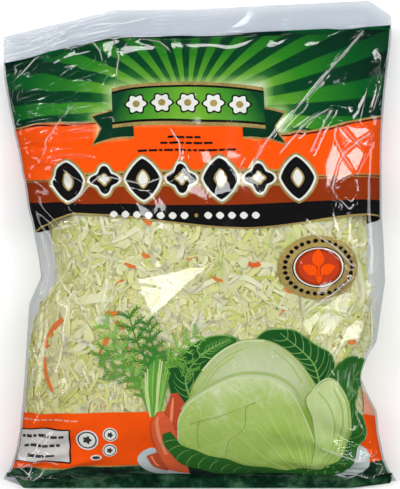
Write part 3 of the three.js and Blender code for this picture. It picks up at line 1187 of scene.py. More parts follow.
def film_finish():
    """Clear glossy film: crisp creases with a painted highlight, crimped seal corners, a faint haze."""
    f = Finish("clear_film")
    across, along = f.flat()
    signed, strength, loose = f.parts("fold")
    header = f.math("GREATER_THAN", along, body_length_of_film()[0])
    normal = film_relief(f, across, along, header, signed, strength, loose)
    off_side = f.minus(f.size(across), FLAT_WIDTH / 2)
    side = f.rise(f.size(off_side), SIDE_TINTED, 0.0)
    tint = f.mix(header, f.mix(side, FILM_TINT, SIDE_TINT), HEADER_TINT)
    clear = f.node("BsdfTransparent", {"Color": tint}).outputs["BSDF"]
    body = f.over(HAZE_SHARE, clear, f.dull(FILM_HAZE))
    # Painted highlight: a pale matt line along each sharp crease, for its glare and the film's whitening
    # there.
    line = f.rise(f.size(signed), HIGHLIGHT_LINE_HALF, 0.0)
    sharp = f.rise(strength, HIGHLIGHTED_FROM, 1.0, MOST_HIGHLIGHT, "LINEAR")
    body = f.over(f.times(line, sharp), body, f.dull(CREASE_HIGHLIGHT_PAINT))
    shine = {"Color": (1, 1, 1, 1), "Roughness": 0.07, "Normal": normal}
    gloss = f.node("BsdfAnisotropic", shine).outputs["BSDF"]
    outer = f.node("Fresnel", {"IOR": FILM_INDEX, "Normal": normal}).outputs["Fac"]
    inner = f.node("Fresnel", {"IOR": 1 / FILM_INDEX, "Normal": normal}).outputs["Fac"]
    from_inside = f.node("NewGeometry").outputs["Backfacing"]
    edge = f.node("Mix", {0: from_inside, 2: outer, 3: inner}, data_type="FLOAT").outputs[0]
    return f.end(f.over(f.math("MINIMUM", edge, MOST_GLARE), body, gloss))


def film_relief(f, across, along, header, signed, strength, loose):
    """The film's relief: sharp creases, soft waves where it is loose, and crimped corners."""
    rounded = f.rise(f.size(signed), CREASE_REACH, 0.0)
    normal = f.bump(f.times(rounded, strength), CREASE_RISE * MM)
    wander = f.times(f.creases(22, 0.10), loose)
    normal = f.bump(wander, 0.0005, 0.6, normal)
    soft = f.times(f.noise(45, 2.0, roughness=0.4), loose)
    normal = f.bump(soft, 0.0005, 0.5, normal)
    corner = f.math("GREATER_THAN", f.size(across), CRIMPS_FROM)
    ridges = f.math("SINE", f.times(along, 2 * math.pi / CRIMP_PITCH))
    crimps = f.times(ridges, f.times(header, corner))
    return f.bump(crimps, 0.00024, 0.9, normal)


def ink_finish(name, colour, fleck=0.06):
    """A printed ink with a faint mottle."""
    f = Finish(name)
    speckle = f.times(f.math("ADD", f.noise(700, 3.0), f.noise(60, 2.0)), 0.5)
    mottle = f.ramp(speckle, [(0.4, (1 - fleck,) * 3), (0.6, (1 + fleck / 2,) * 3)])
    return f.ink(f.mix(1.0, tuple(colour), mottle, blend="MULTIPLY"))


def sunburst_finish(name, dark):
    """Dark and mid green rays round a pale glow, in the green band."""
    f = Finish(name)
    dx, dy = f.away_from(SUN_AT)
    angle = f.math("ARCTAN2", dy, dx)
    wave = f.math("COSINE", f.times(angle, SUN_RAYS))
    ray = f.node("Clamp", {"Value": f.scaled(wave, 3.0, 0.5)}).outputs["Result"]
    part = f.times(f.from_boxes(HALO_BOXES), 1 / GLOW_REACH)
    mid = shades(
        (0.0, 206, 222, 180),
        (0.05, 146, 188, 100),
        (0.11, 94, 158, 46),
        (0.30, 44, 130, 30),
        (0.68, 10, 90, 32),
        (1.0, 6, 66, 32),
    )
    deep = shades((0.0, 198, 216, 172), (0.05, 120, 166, 90), (0.10, 36, 104, 42), (0.20, 4, 68, 32))
    deep += [(0.60, tuple(dark)), (1.0, linear(1, 32, 20))]
    return f.ink(f.mix(ray, f.ramp(part, mid), f.ramp(part, deep)))


def halo_finish(name, plain):
    """An ink that pales close to the name plate and the ribbon that lie over it."""
    f = Finish(name)
    level = f.scaled(f.noise(300, 3.0), 0.6, f.from_boxes(HALO_BOXES))
    stops = shades((0.04, 255, 196, 158), (0.18, 255, 138, 74)) + [(0.42, tuple(plain))]
    return f.ink(f.ramp(f.times(level, 0.1), stops))


def plate_finish(name):
    """The face of the name plate: fresh green in the middle, deep green at its ends."""
    f = Finish(name)
    across, along = f.flat()
    away = f.size(f.minus(across, PLATE_MIDDLE))
    fall = f.scaled(along, 0.012, -2.65)
    level = f.scaled(away, 2 / PLATE_WIDTH, fall)
    level = f.scaled(f.noise(300, 3.0), 0.06, level)
    return f.ink(f.ramp(level, shades((0.1, 116, 176, 50), (0.6, 66, 146, 44), (0.98, 8, 66, 34))))


def foot_crumple_shading_finish(name):
    """The dark green of the foot, with painted light and shade in blotches for the crumpled film."""
    f = Finish(name)
    # Painted light and shade: darker and lighter blotches stand for the shaded folds and glints of
    # crumpled film.
    stops = shades((0.34, 8, 24, 16), (0.48, 20, 56, 36), (0.62, 66, 104, 74))
    return f.ink(f.ramp(f.noise(70, 4.0, roughness=0.65), stops))


def head_finish(name):
    """The pale printed cabbage head: whitish near its top, greener round its edge."""
    f = Finish(name)
    dx, dy = (f.times(away, 1 / size) for away, size in zip(f.away_from(HEAD_AT), HEAD_SIZE))
    veined = f.fibres((HEAD_AT[0], HEAD_AT[1] - 1.6 * HEAD_SIZE[1]))
    blotched = f.scaled(f.noise(70, 3.0), 0.4, -0.42)
    level = f.scaled(veined, 0.45, f.math("ADD", f.squares(dx, dy), blotched))
    level = f.scaled(f.leaf_network(), 0.12, f.minus(level, 0.1))
    stops = shades(
        (0.05, 198, 206, 162), (0.35, 188, 198, 148), (0.70, 170, 188, 112), (1.0, 140, 172, 70)
    )
    return f.ink(f.ramp(level, stops))


def streaked_finish(name, root, top, stops):
    """A printed cabbage leaf: fibres from its root, and paler up to its top along the bag."""
    f = Finish(name)
    _, along = f.flat()
    veined = f.fibres(root)
    blotches = f.math("ADD", f.noise(90, 3.0), f.scaled(f.noise(32, 2.0), 1.4, -0.7))
    rise = top - LEAF_BOTTOM
    level = f.scaled(along, 1 / rise, -LEAF_BOTTOM / rise - 0.45)
    level = f.scaled(veined, 0.5, level)
    level = f.scaled(blotches, 0.4, level)
    level = f.scaled(f.leaf_network(), -0.16, f.math("ADD", level, 0.13))
    return f.ink(f.ramp(level, stops))


def shred_finish(name, pale, deep):
    """Cut vegetable: a tone of its own for each shred, faint fibres, painted shade towards the left and
    a moist surface.
    """
    f = Finish(name)
    tone = f.node("Attribute", attribute_name="tone").outputs["Fac"]
    fibre = f.noise(1100, 2.0)
    level = f.scaled(fibre, 0.35, f.minus(tone, 0.17))
    place = f.node("SeparateXYZ", {0: f.node("TexCoord").outputs["Object"]}).outputs["X"]
    # Painted shade: the shreds darken and yellow towards the left side.
    share = f.rise(place, LEFT_SHADE_TO * MM, LEFT_SHADE_FROM * MM)
    colour = f.ramp(level, shades((0.0, *deep), (1.0, *pale)))
    colour = f.mix(share, colour, LEFT_SHADE_TINT, blend="MULTIPLY")
    soaked = {"Subsurface Weight": 0.6, "Subsurface Radius": (1.0, 0.9, 0.5), "Subsurface Scale": 0.003}
    return f.principled(colour, 0.5, f.bump(fibre, 0.0002, 0.4), **soaked)


def core_finish():
    """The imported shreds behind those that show, as a mottled surface."""
    f = Finish("packed_shreds")
    patches = f.noise(260, 4.0, roughness=0.6)
    strands = f.noise(700, 3.0)
    level = f.scaled(strands, 0.5, f.times(patches, 0.5))
    colour = f.ramp(level, shades((0.3, 206, 198, 108), (0.5, 228, 222, 142), (0.7, 246, 240, 184)))
    return f.principled(colour, 0.5, f.bump(strands, 0.002, 0.8))


# ---- The film.


def build_film():
    """The film itself, closed across the end of each seal."""
    shape = film()
    rows, columns = shape.points.shape[:2]
    faces = grid_faces(rows, columns, closed=True).tolist()
    opposite = (columns // 2 - np.arange(columns)) % columns
    for row, turn in ((0, 1), (rows - 1, -1)):
        for left in range(columns // 4, 3 * columns // 4):
            ring = [left, opposite[left], opposite[left + 1], left + 1]
            corners = list(dict.fromkeys(row * columns + int(corner) for corner in ring))
            faces.append(corners[::turn])
    values = {
        "flat": triples(shape.across, shape.along[:, None]),
        "fold": triples(shape.signed, shape.strength, 1 - shape.facet),
    }
    piece = mesh_piece("film", shape.points, faces, [film_finish()], values=values)
    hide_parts(NODE)


def build_back_seam():
    """The lap seam down the middle of the back: a second layer of film inside the first."""
    rows = np.arange(0.0, film().length, CELL / 2)
    columns = np.linspace(-SEAM_WIDTH / 2, SEAM_WIDTH / 2, 9)
    across, along = np.meshgrid(GIRTH / 2 + columns, rows)
    points = film().at(across, along, SEAM_INSET)
    points[..., 2] = np.maximum(points[..., 2], SEAM_INSET)
    values = {"flat": triples(across, along), "fold": triples(np.full(across.shape, 9.0), 0.0, 1.0)}
    faces = grid_faces(len(rows), len(columns))
    mesh_piece("back_seam", points, faces, [bpy.data.materials["clear_film"]], values=values)


# ---- The print.


def line_band(line, width, start=-GIRTH / 2, stop=GIRTH / 2):
    """A line across the film with a width."""
    return band(raised(line, -width / 2), raised(line, width / 2), start, stop)


def build_top_panel(inks):
    """Green sunburst, orange and rust bands, and the black band with its waved edge."""
    edges = (level_line(PRINT_TOP), GREEN_EDGE, HAIRLINE, RUST_EDGE, WAVE_EDGE)
    fields = ("sunburst", "orange_glow", "rust", "black")
    shapes = [(band(low, top), ink, 6) for top, low, ink in zip(edges, edges[1:], fields)]
    lines = (
        (GREEN_EDGE, 0.2, 0.9, "gold"),
        (GREEN_EDGE, -0.9, 0.8, "black"),
        (HAIRLINE, 0.0, 0.6, "gold"),
        (HAIRLINE, -1.4, 0.4, "gold"),
        (WAVE_EDGE, 0.4, 0.9, "gold"),
    )
    shapes += [(line_band(raised(line, by), width), ink, 5.3) for line, by, width, ink in lines]
    artwork("top_panel", shapes, inks)


def foot_low(across):
    """The lower edge of the dark green strip, which leaves both bottom corners clear."""
    low = FOOT_STRIP_LOW + 0 * across
    for side, width in CLEAR_CORNERS:
        low += EAR_HEIGHT * np.clip(1 - np.abs(across - side * FLAT_WIDTH / 2) / width, 0, 1)
    return low


def build_foot_panel(inks):
    """The orange band over the foot, its gold line, and the dark green strip."""
    shapes = [
        (band(FOOT_LINE, FOOT_PANEL_TOP), "orange", 6.8),
        (band(foot_low, FOOT_LINE), "foot_green", 6.8),
        (line_band(FOOT_LINE, 1.0, *FOOT_LINE_SPAN), "gold", 6.2),
    ]
    artwork("foot_panel", shapes, inks)


def plate_edge(middle, rise):
    """An edge of the name plate: arched by its rise, and sloping a little."""

    def line(across):
        share = (across - PLATE_MIDDLE) / (PLATE_WIDTH / 2)
        return middle + rise * (1 - share**2) + PLATE_SLOPE * (across - PLATE_LEFT)

    return line


def build_name_plate(inks):
    """An arched green plate with a gold rim, a swallow-tailed ribbon and a row of rosettes."""
    top = plate_edge(*PLATE_TOP)
    low = plate_edge(*PLATE_LOW)
    shapes = []
    for number, (ink, inset) in enumerate(PLATE_RIMS):
        shape = band(raised(low, inset), raised(top, -inset), PLATE_LEFT, PLATE_RIGHT)
        shapes.append((shape, ink, 3 - 0.75 * number))
    for tail in RIBBON_TAILS:
        shapes += [(ribbon_tail(*tail, grow), ink, layer) for ink, grow, layer in RIBBON_RIMS]
    flower = rosette(5.4, 6, 0.14)
    rows = ((outset(flower, 1.0), "black", 0.75), (flower, "cream", 0.4), (1.9, "gold", 0.0))
    for number in range(ROSETTE_COUNT):
        across = PLATE_MIDDLE + (number - (ROSETTE_COUNT - 1) / 2) * ROSETTE_PITCH
        shapes += rings((across, (top(across) + low(across)) / 2), rows)
    artwork("name_plate", shapes, inks)


def ribbon_tail(side, outer, inner, grow):
    """One swallow tail of the ribbon, from under the plate outwards."""
    steps = math.ceil(abs(outer - inner) / RIBBON_CELL)
    t = np.linspace(0, 1, steps)
    across = inner + (outer - inner + side * grow) * t
    middle = RIBBON_MIDDLE - 2.5 * t + 1.2 * np.sin(np.pi * t) - (0.02 * (across - PLATE_LEFT))
    half = RIBBON_HALF + grow + 0.8 * t
    columns = math.ceil(2 * half[0] / RIBBON_CELL)
    share = np.linspace(1, -1, columns)
    notch = (1 - np.abs(share)) * RIBBON_NOTCH * t[:, None] ** 6
    x = across[:, None] - side * notch
    y = middle[:, None] + half[:, None] * share[None]
    points = np.stack([x, y], -1)
    faces = grid_faces(steps, columns).tolist()
    if side < 0:
        faces = [face[::-1] for face in faces]
    return points.reshape(-1, 2), faces


def ornament(number):
    """One ornament of the row: tall lozenges and small four-petalled ones by turns."""
    tall = number % 2 == 0
    outline = lozenge(8.8, 11.2, 1.35) if tall else rosette(7.8, 4, 0.18)
    eye = lozenge(2.6, 4.4, 1.35) if tall else rosette(2.7, 4, 0.18)
    rows = (
        (outset(outline, 2.4), "gold", 3.6),
        (outset(outline, 1.2), "cream", 2.8),
        (outline, "black", 2.0),
        (outset(eye, 1.0), "gold", 1.2),
        (eye, "cream", 0.6),
    )
    return rings((ORNAMENTS_FROM + number * ORNAMENT_PITCH, ORNAMENTS_AT), rows)


def build_ornaments(inks):
    """The row of ornaments over the rust band, where the bag's large title would stand."""
    reach = (ORNAMENT_COUNT - 1) * ORNAMENT_PITCH
    ends = ((ORNAMENTS_FROM - 9, ORNAMENTS_AT), (ORNAMENTS_FROM + reach + 9, ORNAMENTS_AT))
    spine = bent_line(*ends, 0.004, 110)
    shapes = [(strip(spine, 4.4), "gold", 4.6), (strip(spine, 3.0), "black", 4.2)]
    for number in range(ORNAMENT_COUNT):
        shapes += ornament(number)
    for number in range(PEARL_COUNT):
        across = PEARLS_FROM + number * PEARL_PITCH
        place = (across, PEARLS_AT - PEARLS_TURN[1] * (across - PEARLS_TURN[0]) ** 3)
        gold = number == GOLD_PEARL
        pearl = (1.0, "gold", 4) if gold else (lozenge(2.1, 1.9, 1.5), "cream", 4)
        shapes += rings(place, [pearl], 16)
    for *span, along in SMALL_PRINT:
        shapes += row_of_bars(span, along, 0.6, "black", 4)
    artwork("title_ornaments", shapes, inks)


def build_emblem(inks):
    """The oval emblem at the right of the window: rims, a ring of dots and three leaves."""
    centre = np.array(EMBLEM_AT)
    rims = [
        (ellipse(*EMBLEM_SIZE, share), ink, 5 - 0.6 * number)
        for number, (ink, share) in enumerate(EMBLEM_RINGS)
    ]
    shapes = rings(centre, rims, 72)
    blade = np.maximum(np.sin(np.pi * np.linspace(0, 1, 14) ** 0.75) ** 0.8, 0.03)
    for base, tip, half in EMBLEM_LEAVES:
        spine = bent_line(centre + base, centre + tip, 0.04, 14)
        shapes.append((strip(spine, half * blade), "orange", 1.6))
    for stop in EMBLEM_STEMS_TO:
        stem = bent_line(centre + EMBLEM_STEM_FROM, centre + stop, 0.05, 10)
        shapes.append((strip(stem, 0.45), "orange", 1.5))
    dot = (lozenge(1.3, 1.1, 1.6), "black", 3.6)
    for angle in 2 * np.pi * np.arange(EMBLEM_DOTS) / EMBLEM_DOTS:
        place = centre + 0.82 * np.array(EMBLEM_SIZE) * (math.cos(angle), math.sin(angle))
        shapes += rings(place, [dot], 12)
    artwork("emblem", shapes, inks)


def row_of_bars(span, along, half_height, ink, layer, slope=0.0):
    """A row of plain bars of uneven lengths, where a line of small print would stand."""
    rng = np.random.default_rng(round(7 * along + span[1]))
    shapes = []
    across = span[0]
    while across < span[1] - BAR_GAP:
        stop = min(across + rng.uniform(*BAR_LENGTHS), span[1])
        ends = ((across, along + slope * across), (stop, along + slope * stop))
        shapes.append((strip(bent_line(*ends, 0.0, 6), half_height), ink, layer))
        across = stop + BAR_GAP
    return shapes


def build_label(inks):
    """The pale label at the lower left, rows of bars on it, and four small marks."""
    left, right, low, high = LABEL_BOX
    edges = [raised(lambda across: LABEL_SLOPE * across, along) for along in (low, high)]
    shapes = [(band(*edges, left, right), "label_grey", 5.2)]
    rules = [((left, edge(left)), (right, edge(right)), 26) for edge in edges]
    rules += [((side, edges[0](side)), (side, edges[1](side)), 16) for side in (left, right)]
    for start, stop, steps in rules:
        shapes.append((strip(bent_line(start, stop, 0.0, steps), 0.4), "black", 4.4))
    for *span, along in LABEL_ROWS:
        shapes += row_of_bars(span, along, 0.85, "grey", 4.4, LABEL_SLOPE)
    shapes += row_of_bars(*LABEL_HEADING, 0.45, "peach", 4.5)
    for *place, size in ROUND_MARKS:
        rims = ((size, "cream", 4.6), (size * 0.86, "black", 4.1), (size * 0.74, "cream", 3.6))
        shapes += rings(place, rims, 32)
        shapes += rings(place, [(rosette(size * 0.45, 5, 0.2), "grey", 3.1)], 20)
    ovals = ((ellipse(3.1, 1.7), "cream", 4.6), (ellipse(2.3, 1.0), "grey", 4.1))
    shapes += rings(OVAL_MARK, ovals, 24)
    artwork("label", shapes, inks)


# ---- The printed picture, in flat coordinates.

# Dark outer leaves behind the head: ink, outline, midrib, reach of the side veins.
OUTER_LEAVES = (
    (
        "leaf_dark",
        (
            (-16, 86), (-9, 92), (0, 98), (9, 100), (17, 98), (12, 86), (4, 72), (-4, 62), (-13, 66),
            (-17, 78),
        ),
        ((-4, 64), (-7, 80), (6, 96)),
        11,
    ),
    (
        "leaf",
        ((-2, 92), (1, 98), (9, 100), (18, 98), (14, 92), (6, 88)),
        ((0, 90), (8, 95), (15, 98)),
        5,
    ),
    (
        "leaf_dark",
        (
            (28, 96), (32, 102), (40, 103), (48, 102), (54, 98), (61, 94), (68, 90), (71, 83), (69, 75),
            (60, 70), (48, 76), (38, 86),
        ),
        ((64, 70), (58, 86), (40, 101)),
        17,
    ),
    (
        "leaf",
        (
            (69, 80), (77, 87), (85, 88), (94, 86), (99, 81), (92, 73), (84, 66), (84, 60), (89, 55),
            (90, 48), (86, 40), (80, 33), (72, 26), (66, 40), (64, 60), (66, 74),
        ),
        ((74, 30), (80, 48), (77, 64), (91, 82)),
        13,
    ),
)
GLOBE = (
    (-5, 65), (-4, 73), (1, 82), (7, 89), (14, 94), (22, 97.5), (32, 97.5), (41, 94), (49, 88),
    (56, 80), (61, 72), (63, 60), (60, 40), (50, 22), (30, 18), (8, 26), (-3, 44),
)
FRONT_LEAF = (
    (-11, 50), (-10, 58), (-5, 65), (5, 72), (16, 77), (27, 78), (38, 76), (47, 70), (53, 60),
    (58, 48), (61, 36), (61, 22), (47, 14), (25, 15), (9, 22), (-3, 32), (-10, 41),
)
SIDE_LEAF = (
    (55, 66), (61, 73), (67, 76.5), (73, 75), (78, 67), (79.5, 58), (79.5, 49), (77, 39), (72, 29),
    (64, 19), (57, 17), (60, 38), (59, 54),
)
LOW_LEAF = (
    (-17, 48), (-13, 39), (-5, 32), (6, 27), (18, 22), (32, 18), (47, 16), (60, 17), (70, 22), (78, 31),
    (83, 43),
)
HEAD_CRACKS = (
    ((-5, 53), (2, 55), (9, 57), (19, 61), (29, 65)),
    ((29, 65), (24, 62), (23, 51), (15, 42), (14, 30)),
    ((0, 55), (-1, 48), (0, 38)),
)
HEAD_ARCS = (  # fine green arcs over the top of the head
    ((1, 66), (3, 74), (9, 83), (17, 89)),
    ((0, 72), (5, 81), (12, 88), (21, 93)),
    ((42, 92), (49, 86), (56, 77), (60, 70)),
    ((36, 93), (46, 85), (53, 75)),
)
HEAD_SHADE = ((-9, 61), (-4, 67.5), (6, 74.8), (17, 79.6), (28, 80.6), (39, 78.6), (48, 72.8), (54, 63))
HEAD_EDGES = (  # pale edges of leaves on the head
    ((-10, 58), (-5, 65.5), (5, 72.5), (16, 77.5), (24, 78)),
    ((55, 66), (61, 73.5), (67, 77), (73, 75)),
    ((1, 82), (7, 89), (14, 94), (22, 97), (32, 97)),
)
FRONT_VEIN_ROOT = (57, 15)
FRONT_VEINS = (  # tip and bend of each pale vein that fans out over the front leaf
    ((-7, 42), 0.10),
    ((-6, 55), 0.08),
    ((4, 67), 0.05),
    ((15, 73), 0.02),
    ((26, 74.5), -0.02),
    ((36, 73), -0.05),
    ((45, 67), -0.07),
    ((52, 56), -0.08),
    ((6, 28), 0.08),
)
SIDE_STREAKS = (
    ((74, 72), (77.5, 64), (78.3, 56), (77.8, 46), (74, 36), (67, 25)),
    ((70, 72), (74.5, 62), (75, 52), (73, 42), (68, 31), (62, 22)),
    ((62, 70), (68, 62), (71, 50), (69, 38), (63, 27)),
)
CARROTS = (  # ink, places from the shoulder to the tip, half width at each
    ("carrot_dark", ((-24, 34), (-21, 27), (-16, 21)), (3.2, 3.0, 0.8)),
    ("carrot_dark", ((-13, 70), (-12, 62), (-13, 52), (-16, 42)), (1.2, 4.8, 4.6, 3.6)),
    (
        "carrot",
        ((-20, 60), (-19.5, 54), (-18, 46), (-15, 36), (-11, 25), (-6, 17)),
        (1.2, 5.2, 6.2, 6.2, 5.4, 1.0),
    ),
)
FRONDS = (  # ink, places along the stem, and reach of the branches
    ("frond", ((-27, 64), (-36, 82), (-45, 92), (-54, 88)), 7),
    ("frond_light", ((-26, 60), (-31, 79), (-41, 95), (-53, 108)), 8),
    ("frond_deep", ((-25, 64), (-27, 83), (-34, 98), (-39, 113)), 8),
    ("frond_deep", ((-24, 68), (-23, 85), (-26, 98), (-29, 108)), 6),
    ("frond_light", ((-22, 70), (-20, 82), (-12, 93), (-1, 102)), 7),
    ("frond", ((-21, 70), (-19, 83), (-12, 87), (-3, 80)), 6),
    ("frond", ((-26, 60), (-31, 72), (-40, 80), (-50, 81)), 6),
    ("frond_deep", ((-24, 72), (-25, 82), (-22, 92)), 6),
)
# Patches under the picture: where the window doesn't show beside the leaves and the carrots.
PALE_PATCHES = (
    ("peach", ((99, 80), (105, 72), (107, 57), (90, 57), (92, 66))),
    ("pale_grey", ((-32, 29), (-27, 37), (-20, 36), (-10, 24), (-4, 8), (-12, 3), (-21, 12))),
    ("pale_grey", ((74, 34), (83, 39), (91, 34), (89, 24), (80, 12), (70, 12))),
)
STALK_COUNT = 13
STALK_INKS = ("stalk", "frond", "frond_light", "stalk_green")

# Layers of the parts of the picture, the uppermost last.
PATCH_LAYER = 5.6
OUTER_LAYERS = (5.2, 4.5)
FROND_LAYER = 4.3
STALK_LAYER = 3.8
CARROT_LAYERS = (3.3, 3.3, 2.6)
HEAD_LAYER = 3.3
FRONT_LAYER = 1.9
SIDE_LAYER = 1.1
LOW_LAYER = 0.4


def frond(places, reach):
    """A feathery carrot leaf: a stem with side branches, each with small leaflets."""
    steps = 30
    spine = curve(places, steps)
    shapes = [strip(spine, np.linspace(0.6, 0.2, steps))]
    forward = unit(np.gradient(spine, axis=0))
    starts = range(6, steps, 4)
    for number, i in enumerate(starts):
        span = reach * math.sin(math.pi * (0.2 + 0.7 * number / len(starts))) ** 0.7
        for side in (1, -1):
            out = side * np.array([-forward[i, 1], forward[i, 0]])
            end = spine[i] + (out * 0.75 + forward[i] * 0.66) * span
            branch = bent_line(spine[i], end, -0.1 * side, 8)
            shapes.append(strip(branch, np.linspace(0.32, 0.2, 8)))
            shapes += leaflets(branch, unit(end - spine[i]), 0.42 * span)
    return shapes


def leaflets(branch, heading, reach):
    """Small leaves to both sides of a branch, pointing ahead."""
    across = np.array([-heading[1], heading[0]])
    shapes = []
    for start in branch[1::2]:
        for turn in (1, -1):
            stop = start + (heading * 0.9 + turn * across * 0.45) * reach
            shapes.append(strip([start, (start + stop) / 2, stop], [0.13, 0.34, 0.05]))
    return shapes


def crossing_veins(spine, reach, layer, turns=(0.6, -0.6)):
    """Side veins that branch off a spine to both sides, shorter towards its tip."""
    forward = np.gradient(spine, axis=0)
    shapes = []
    for i in range(3, len(spine) - 2, 3):
        heading = math.atan2(forward[i, 1], forward[i, 0])
        span = reach * (1 - 0.6 * i / len(spine))
        for turn in turns:
            aim = heading + turn
            tip = spine[i] + span * np.array([math.cos(aim), math.sin(aim)])
            twig = bent_line(spine[i], tip, 0.12 * math.copysign(1, turn), 8)
            shapes.append((strip(twig, np.linspace(0.26, 0.08, 8)), "leaf_vein", layer))
    return shapes


def rimmed(outline, ink, rim_ink, layer):
    """A patch with a fine rim printed over its edge."""
    edge = curve(outline, 8 * len(outline), closed=True)
    rim = strip(np.concatenate([edge, edge[:2]]), 0.3)
    return [(patch(outline), ink, layer), (rim, rim_ink, layer - DETAIL)]


def carrot(ink, places, widths, layer):
    """A carrot from its shoulder to its tip, with a rim, a shine and rings."""
    steps = 40
    spine = curve(places, steps)
    width = np.interp(np.linspace(0, 1, steps), np.linspace(0, 1, len(widths)), widths)
    shone = width[4:-14]
    shine = spine[4:-14] + np.stack([-0.45 * shone, 0 * shone], -1)
    shapes = [
        (strip(spine, width + 0.5), "carrot_rim", layer + DETAIL),
        (strip(spine, width), ink, layer),
        (strip(shine, 0.16 * shone), "carrot_shine", layer - DETAIL),
    ]
    for i in range(6, 34, 5):
        ring = bent_line(spine[i], spine[i] + (0.8 * width[i], 0.4), 0.1, 6)
        shapes.append((strip(ring, 0.12), "carrot_rim", layer - DETAIL))
    return shapes


def outer_leaves():
    """The dark leaves behind the head, each with its midrib and side veins."""
    shapes = []
    for number, (ink, outline, midrib, reach) in enumerate(OUTER_LEAVES):
        layer = OUTER_LAYERS[number % 2]
        shapes += rimmed(outline, ink, "leaf_vein", layer)
        shapes.append(drawn(midrib, (0.6, 0.15), "leaf_vein", layer - DETAIL, 28))
        shapes += crossing_veins(curve(midrib, 28), reach, layer - DETAIL)
    return shapes


def carrot_bunch():
    """The carrots with their stalks and fronds."""
    shapes = []
    for number, (ink, places, reach) in enumerate(FRONDS):
        shapes += [(shape, ink, FROND_LAYER - 0.05 * number) for shape in frond(places, reach)]
    for number in range(STALK_COUNT):
        side = (number * 5) % STALK_COUNT - STALK_COUNT // 2
        places = (
            (-23 + 0.3 * side, 57),
            (-23 + 0.75 * side, 69),
            (-22 + 1.05 * side, 88 - 0.35 * abs(side) ** 1.7),
        )
        ink = STALK_INKS[number % len(STALK_INKS)]
        shapes.append(drawn(places, (0.8, 0.35), ink, STALK_LAYER - 0.02 * number, 24))
    for layer, (ink, places, widths) in zip(CARROT_LAYERS, CARROTS):
        shapes += carrot(ink, places, widths, layer)
    return shapes


def cabbage_head():
    """The head, the leaf round its front with its veins, and the leaf at its side."""
    shapes = rimmed(GLOBE, "cabbage_head", "crack", HEAD_LAYER)
    shapes += [drawn(places, (0.15, 0.4), "arc_green", HEAD_LAYER - DETAIL) for places in HEAD_ARCS]
    shapes.append(drawn(HEAD_SHADE, (0.9, 0.9), "head_shade", HEAD_LAYER - DETAIL, 60))
    shapes += rimmed(FRONT_LEAF, "wrap_leaf", "leaf_edge", FRONT_LAYER)
    for tip, bend in FRONT_VEINS:
        vein = bent_line(FRONT_VEIN_ROOT, tip, bend, 30)[3:]
        widths = np.linspace(0.5, 0.08, len(vein))
        shapes.append((strip(vein, widths), "leaf_fibre", FRONT_LAYER - DETAIL))
    shapes += [drawn(places, (0.3, 0.1), "crack", FRONT_LAYER - 2 * DETAIL) for places in HEAD_CRACKS]
    shapes += rimmed(SIDE_LEAF, "wrapper", "crack", SIDE_LAYER)
    shapes += [drawn(places, (0.5, 0.5), "leaf_edge", SIDE_LAYER - DETAIL) for places in HEAD_EDGES]
    for number, places in enumerate(SIDE_STREAKS):
        widths = (0.3, 0.9 - 0.2 * number)
        shapes.append(drawn(places, widths, "arc_green", SIDE_LAYER - DETAIL))
    return shapes


def low_leaf():
    """The waved leaf that lies along the foot of the picture."""
    steps = 60
    spine = curve(LOW_LEAF, steps)
    waves = 1 + 0.1 * np.sin(np.linspace(0, 40, steps))
    width = 7.2 * np.sin(np.pi * np.linspace(0.04, 0.97, steps)) ** 0.6 * waves
    leaf = (strip(spine, width), "leaf", LOW_LAYER)
    return [leaf] + crossing_veins(spine, 6.5, LOW_LAYER - DETAIL, (1.1, -1.3))


def build_vegetables(inks):
    """The printed picture: a cabbage in its leaves and a bunch of carrots, in simple shapes."""
    shapes = [
        (patch(outline), ink, PATCH_LAYER - 0.1 * number)
        for number, (ink, outline) in enumerate(PALE_PATCHES)
    ]
    shapes += outer_leaves() + carrot_bunch() + cabbage_head() + low_leaf()
    artwork("vegetables", shapes, inks)


# ---- The filling.

FILL_FROM = 19.0
FILL_TO = 250.0
SHOWS_FROM = 50.0  # the window runs round the bag between these
SHOWS_TO = 165.0
CORE_DEPTH = 3.6
CORE_COLUMNS = 176
CORE_CELL = 2.6
CORE_SEED = 3
SIDE_SLACK = 8.0  # further in at the empty sides, near the top
PATH_POINTS = 8
PATH_MARGIN = 14  # how far shreds lie under the print over and under the window
SHRED_DEPTH = 1.5  # of the uppermost layer, under the film
CLEARANCE = 1.3  # from the film to the cut cabbage
CARROT_CLEARANCE = 1.15
SPREAD_STEPS = (0.7548776662, 0.5698402910)  # shares of the plane that never fall on a grid
CABBAGE_KINDS = (  # name, share of the shreds, palest and deepest colour on a screen
    ("shreds_pale", 0.5, (250, 244, 184), (228, 220, 138)),
    ("shreds_white", 0.28, (254, 248, 200), (240, 232, 164)),
    ("shreds_green", 0.22, (232, 234, 148), (198, 206, 102)),
)
CARROT_STRIPS = (  # start, middle, end and width of each that lies in a set place
    ((-74, 108), (-82, 103), (-84, 93), 3.4),
    ((-84.5, 88), (-83, 78), (-78, 70), 2.3),
    ((-33, 142), (-31, 140), (-29, 141), 2.0),
    ((-42, 137), (-38, 135), (-36, 135), 1.8),
    ((22, 137), (25, 135), (28, 137), 2.6),
    ((42, 124), (44, 122), (47, 123), 2.6),
    ((72, 139), (73, 137), (73, 134), 1.6),
    ((78, 96), (80, 95), (83, 96), 2.4),
    ((-45, 107), (-42, 104), (-40, 104), 2.4),
    ((-41, 97), (-39, 95), (-38, 92), 2.2),
    ((-50, 112), (-46, 110), (-43, 112), 2.0),
    ((4, 130), (6, 128), (9, 128), 1.6),
)


def slack(across, along):
    """How much further the filling stays from the film, towards the empty sides."""
    edge = np.exp(-(((np.abs(np.abs(across) - FLAT_WIDTH / 2)) / 26) ** 2))
    return SIDE_SLACK * edge * smooth((along - 90) / 45)


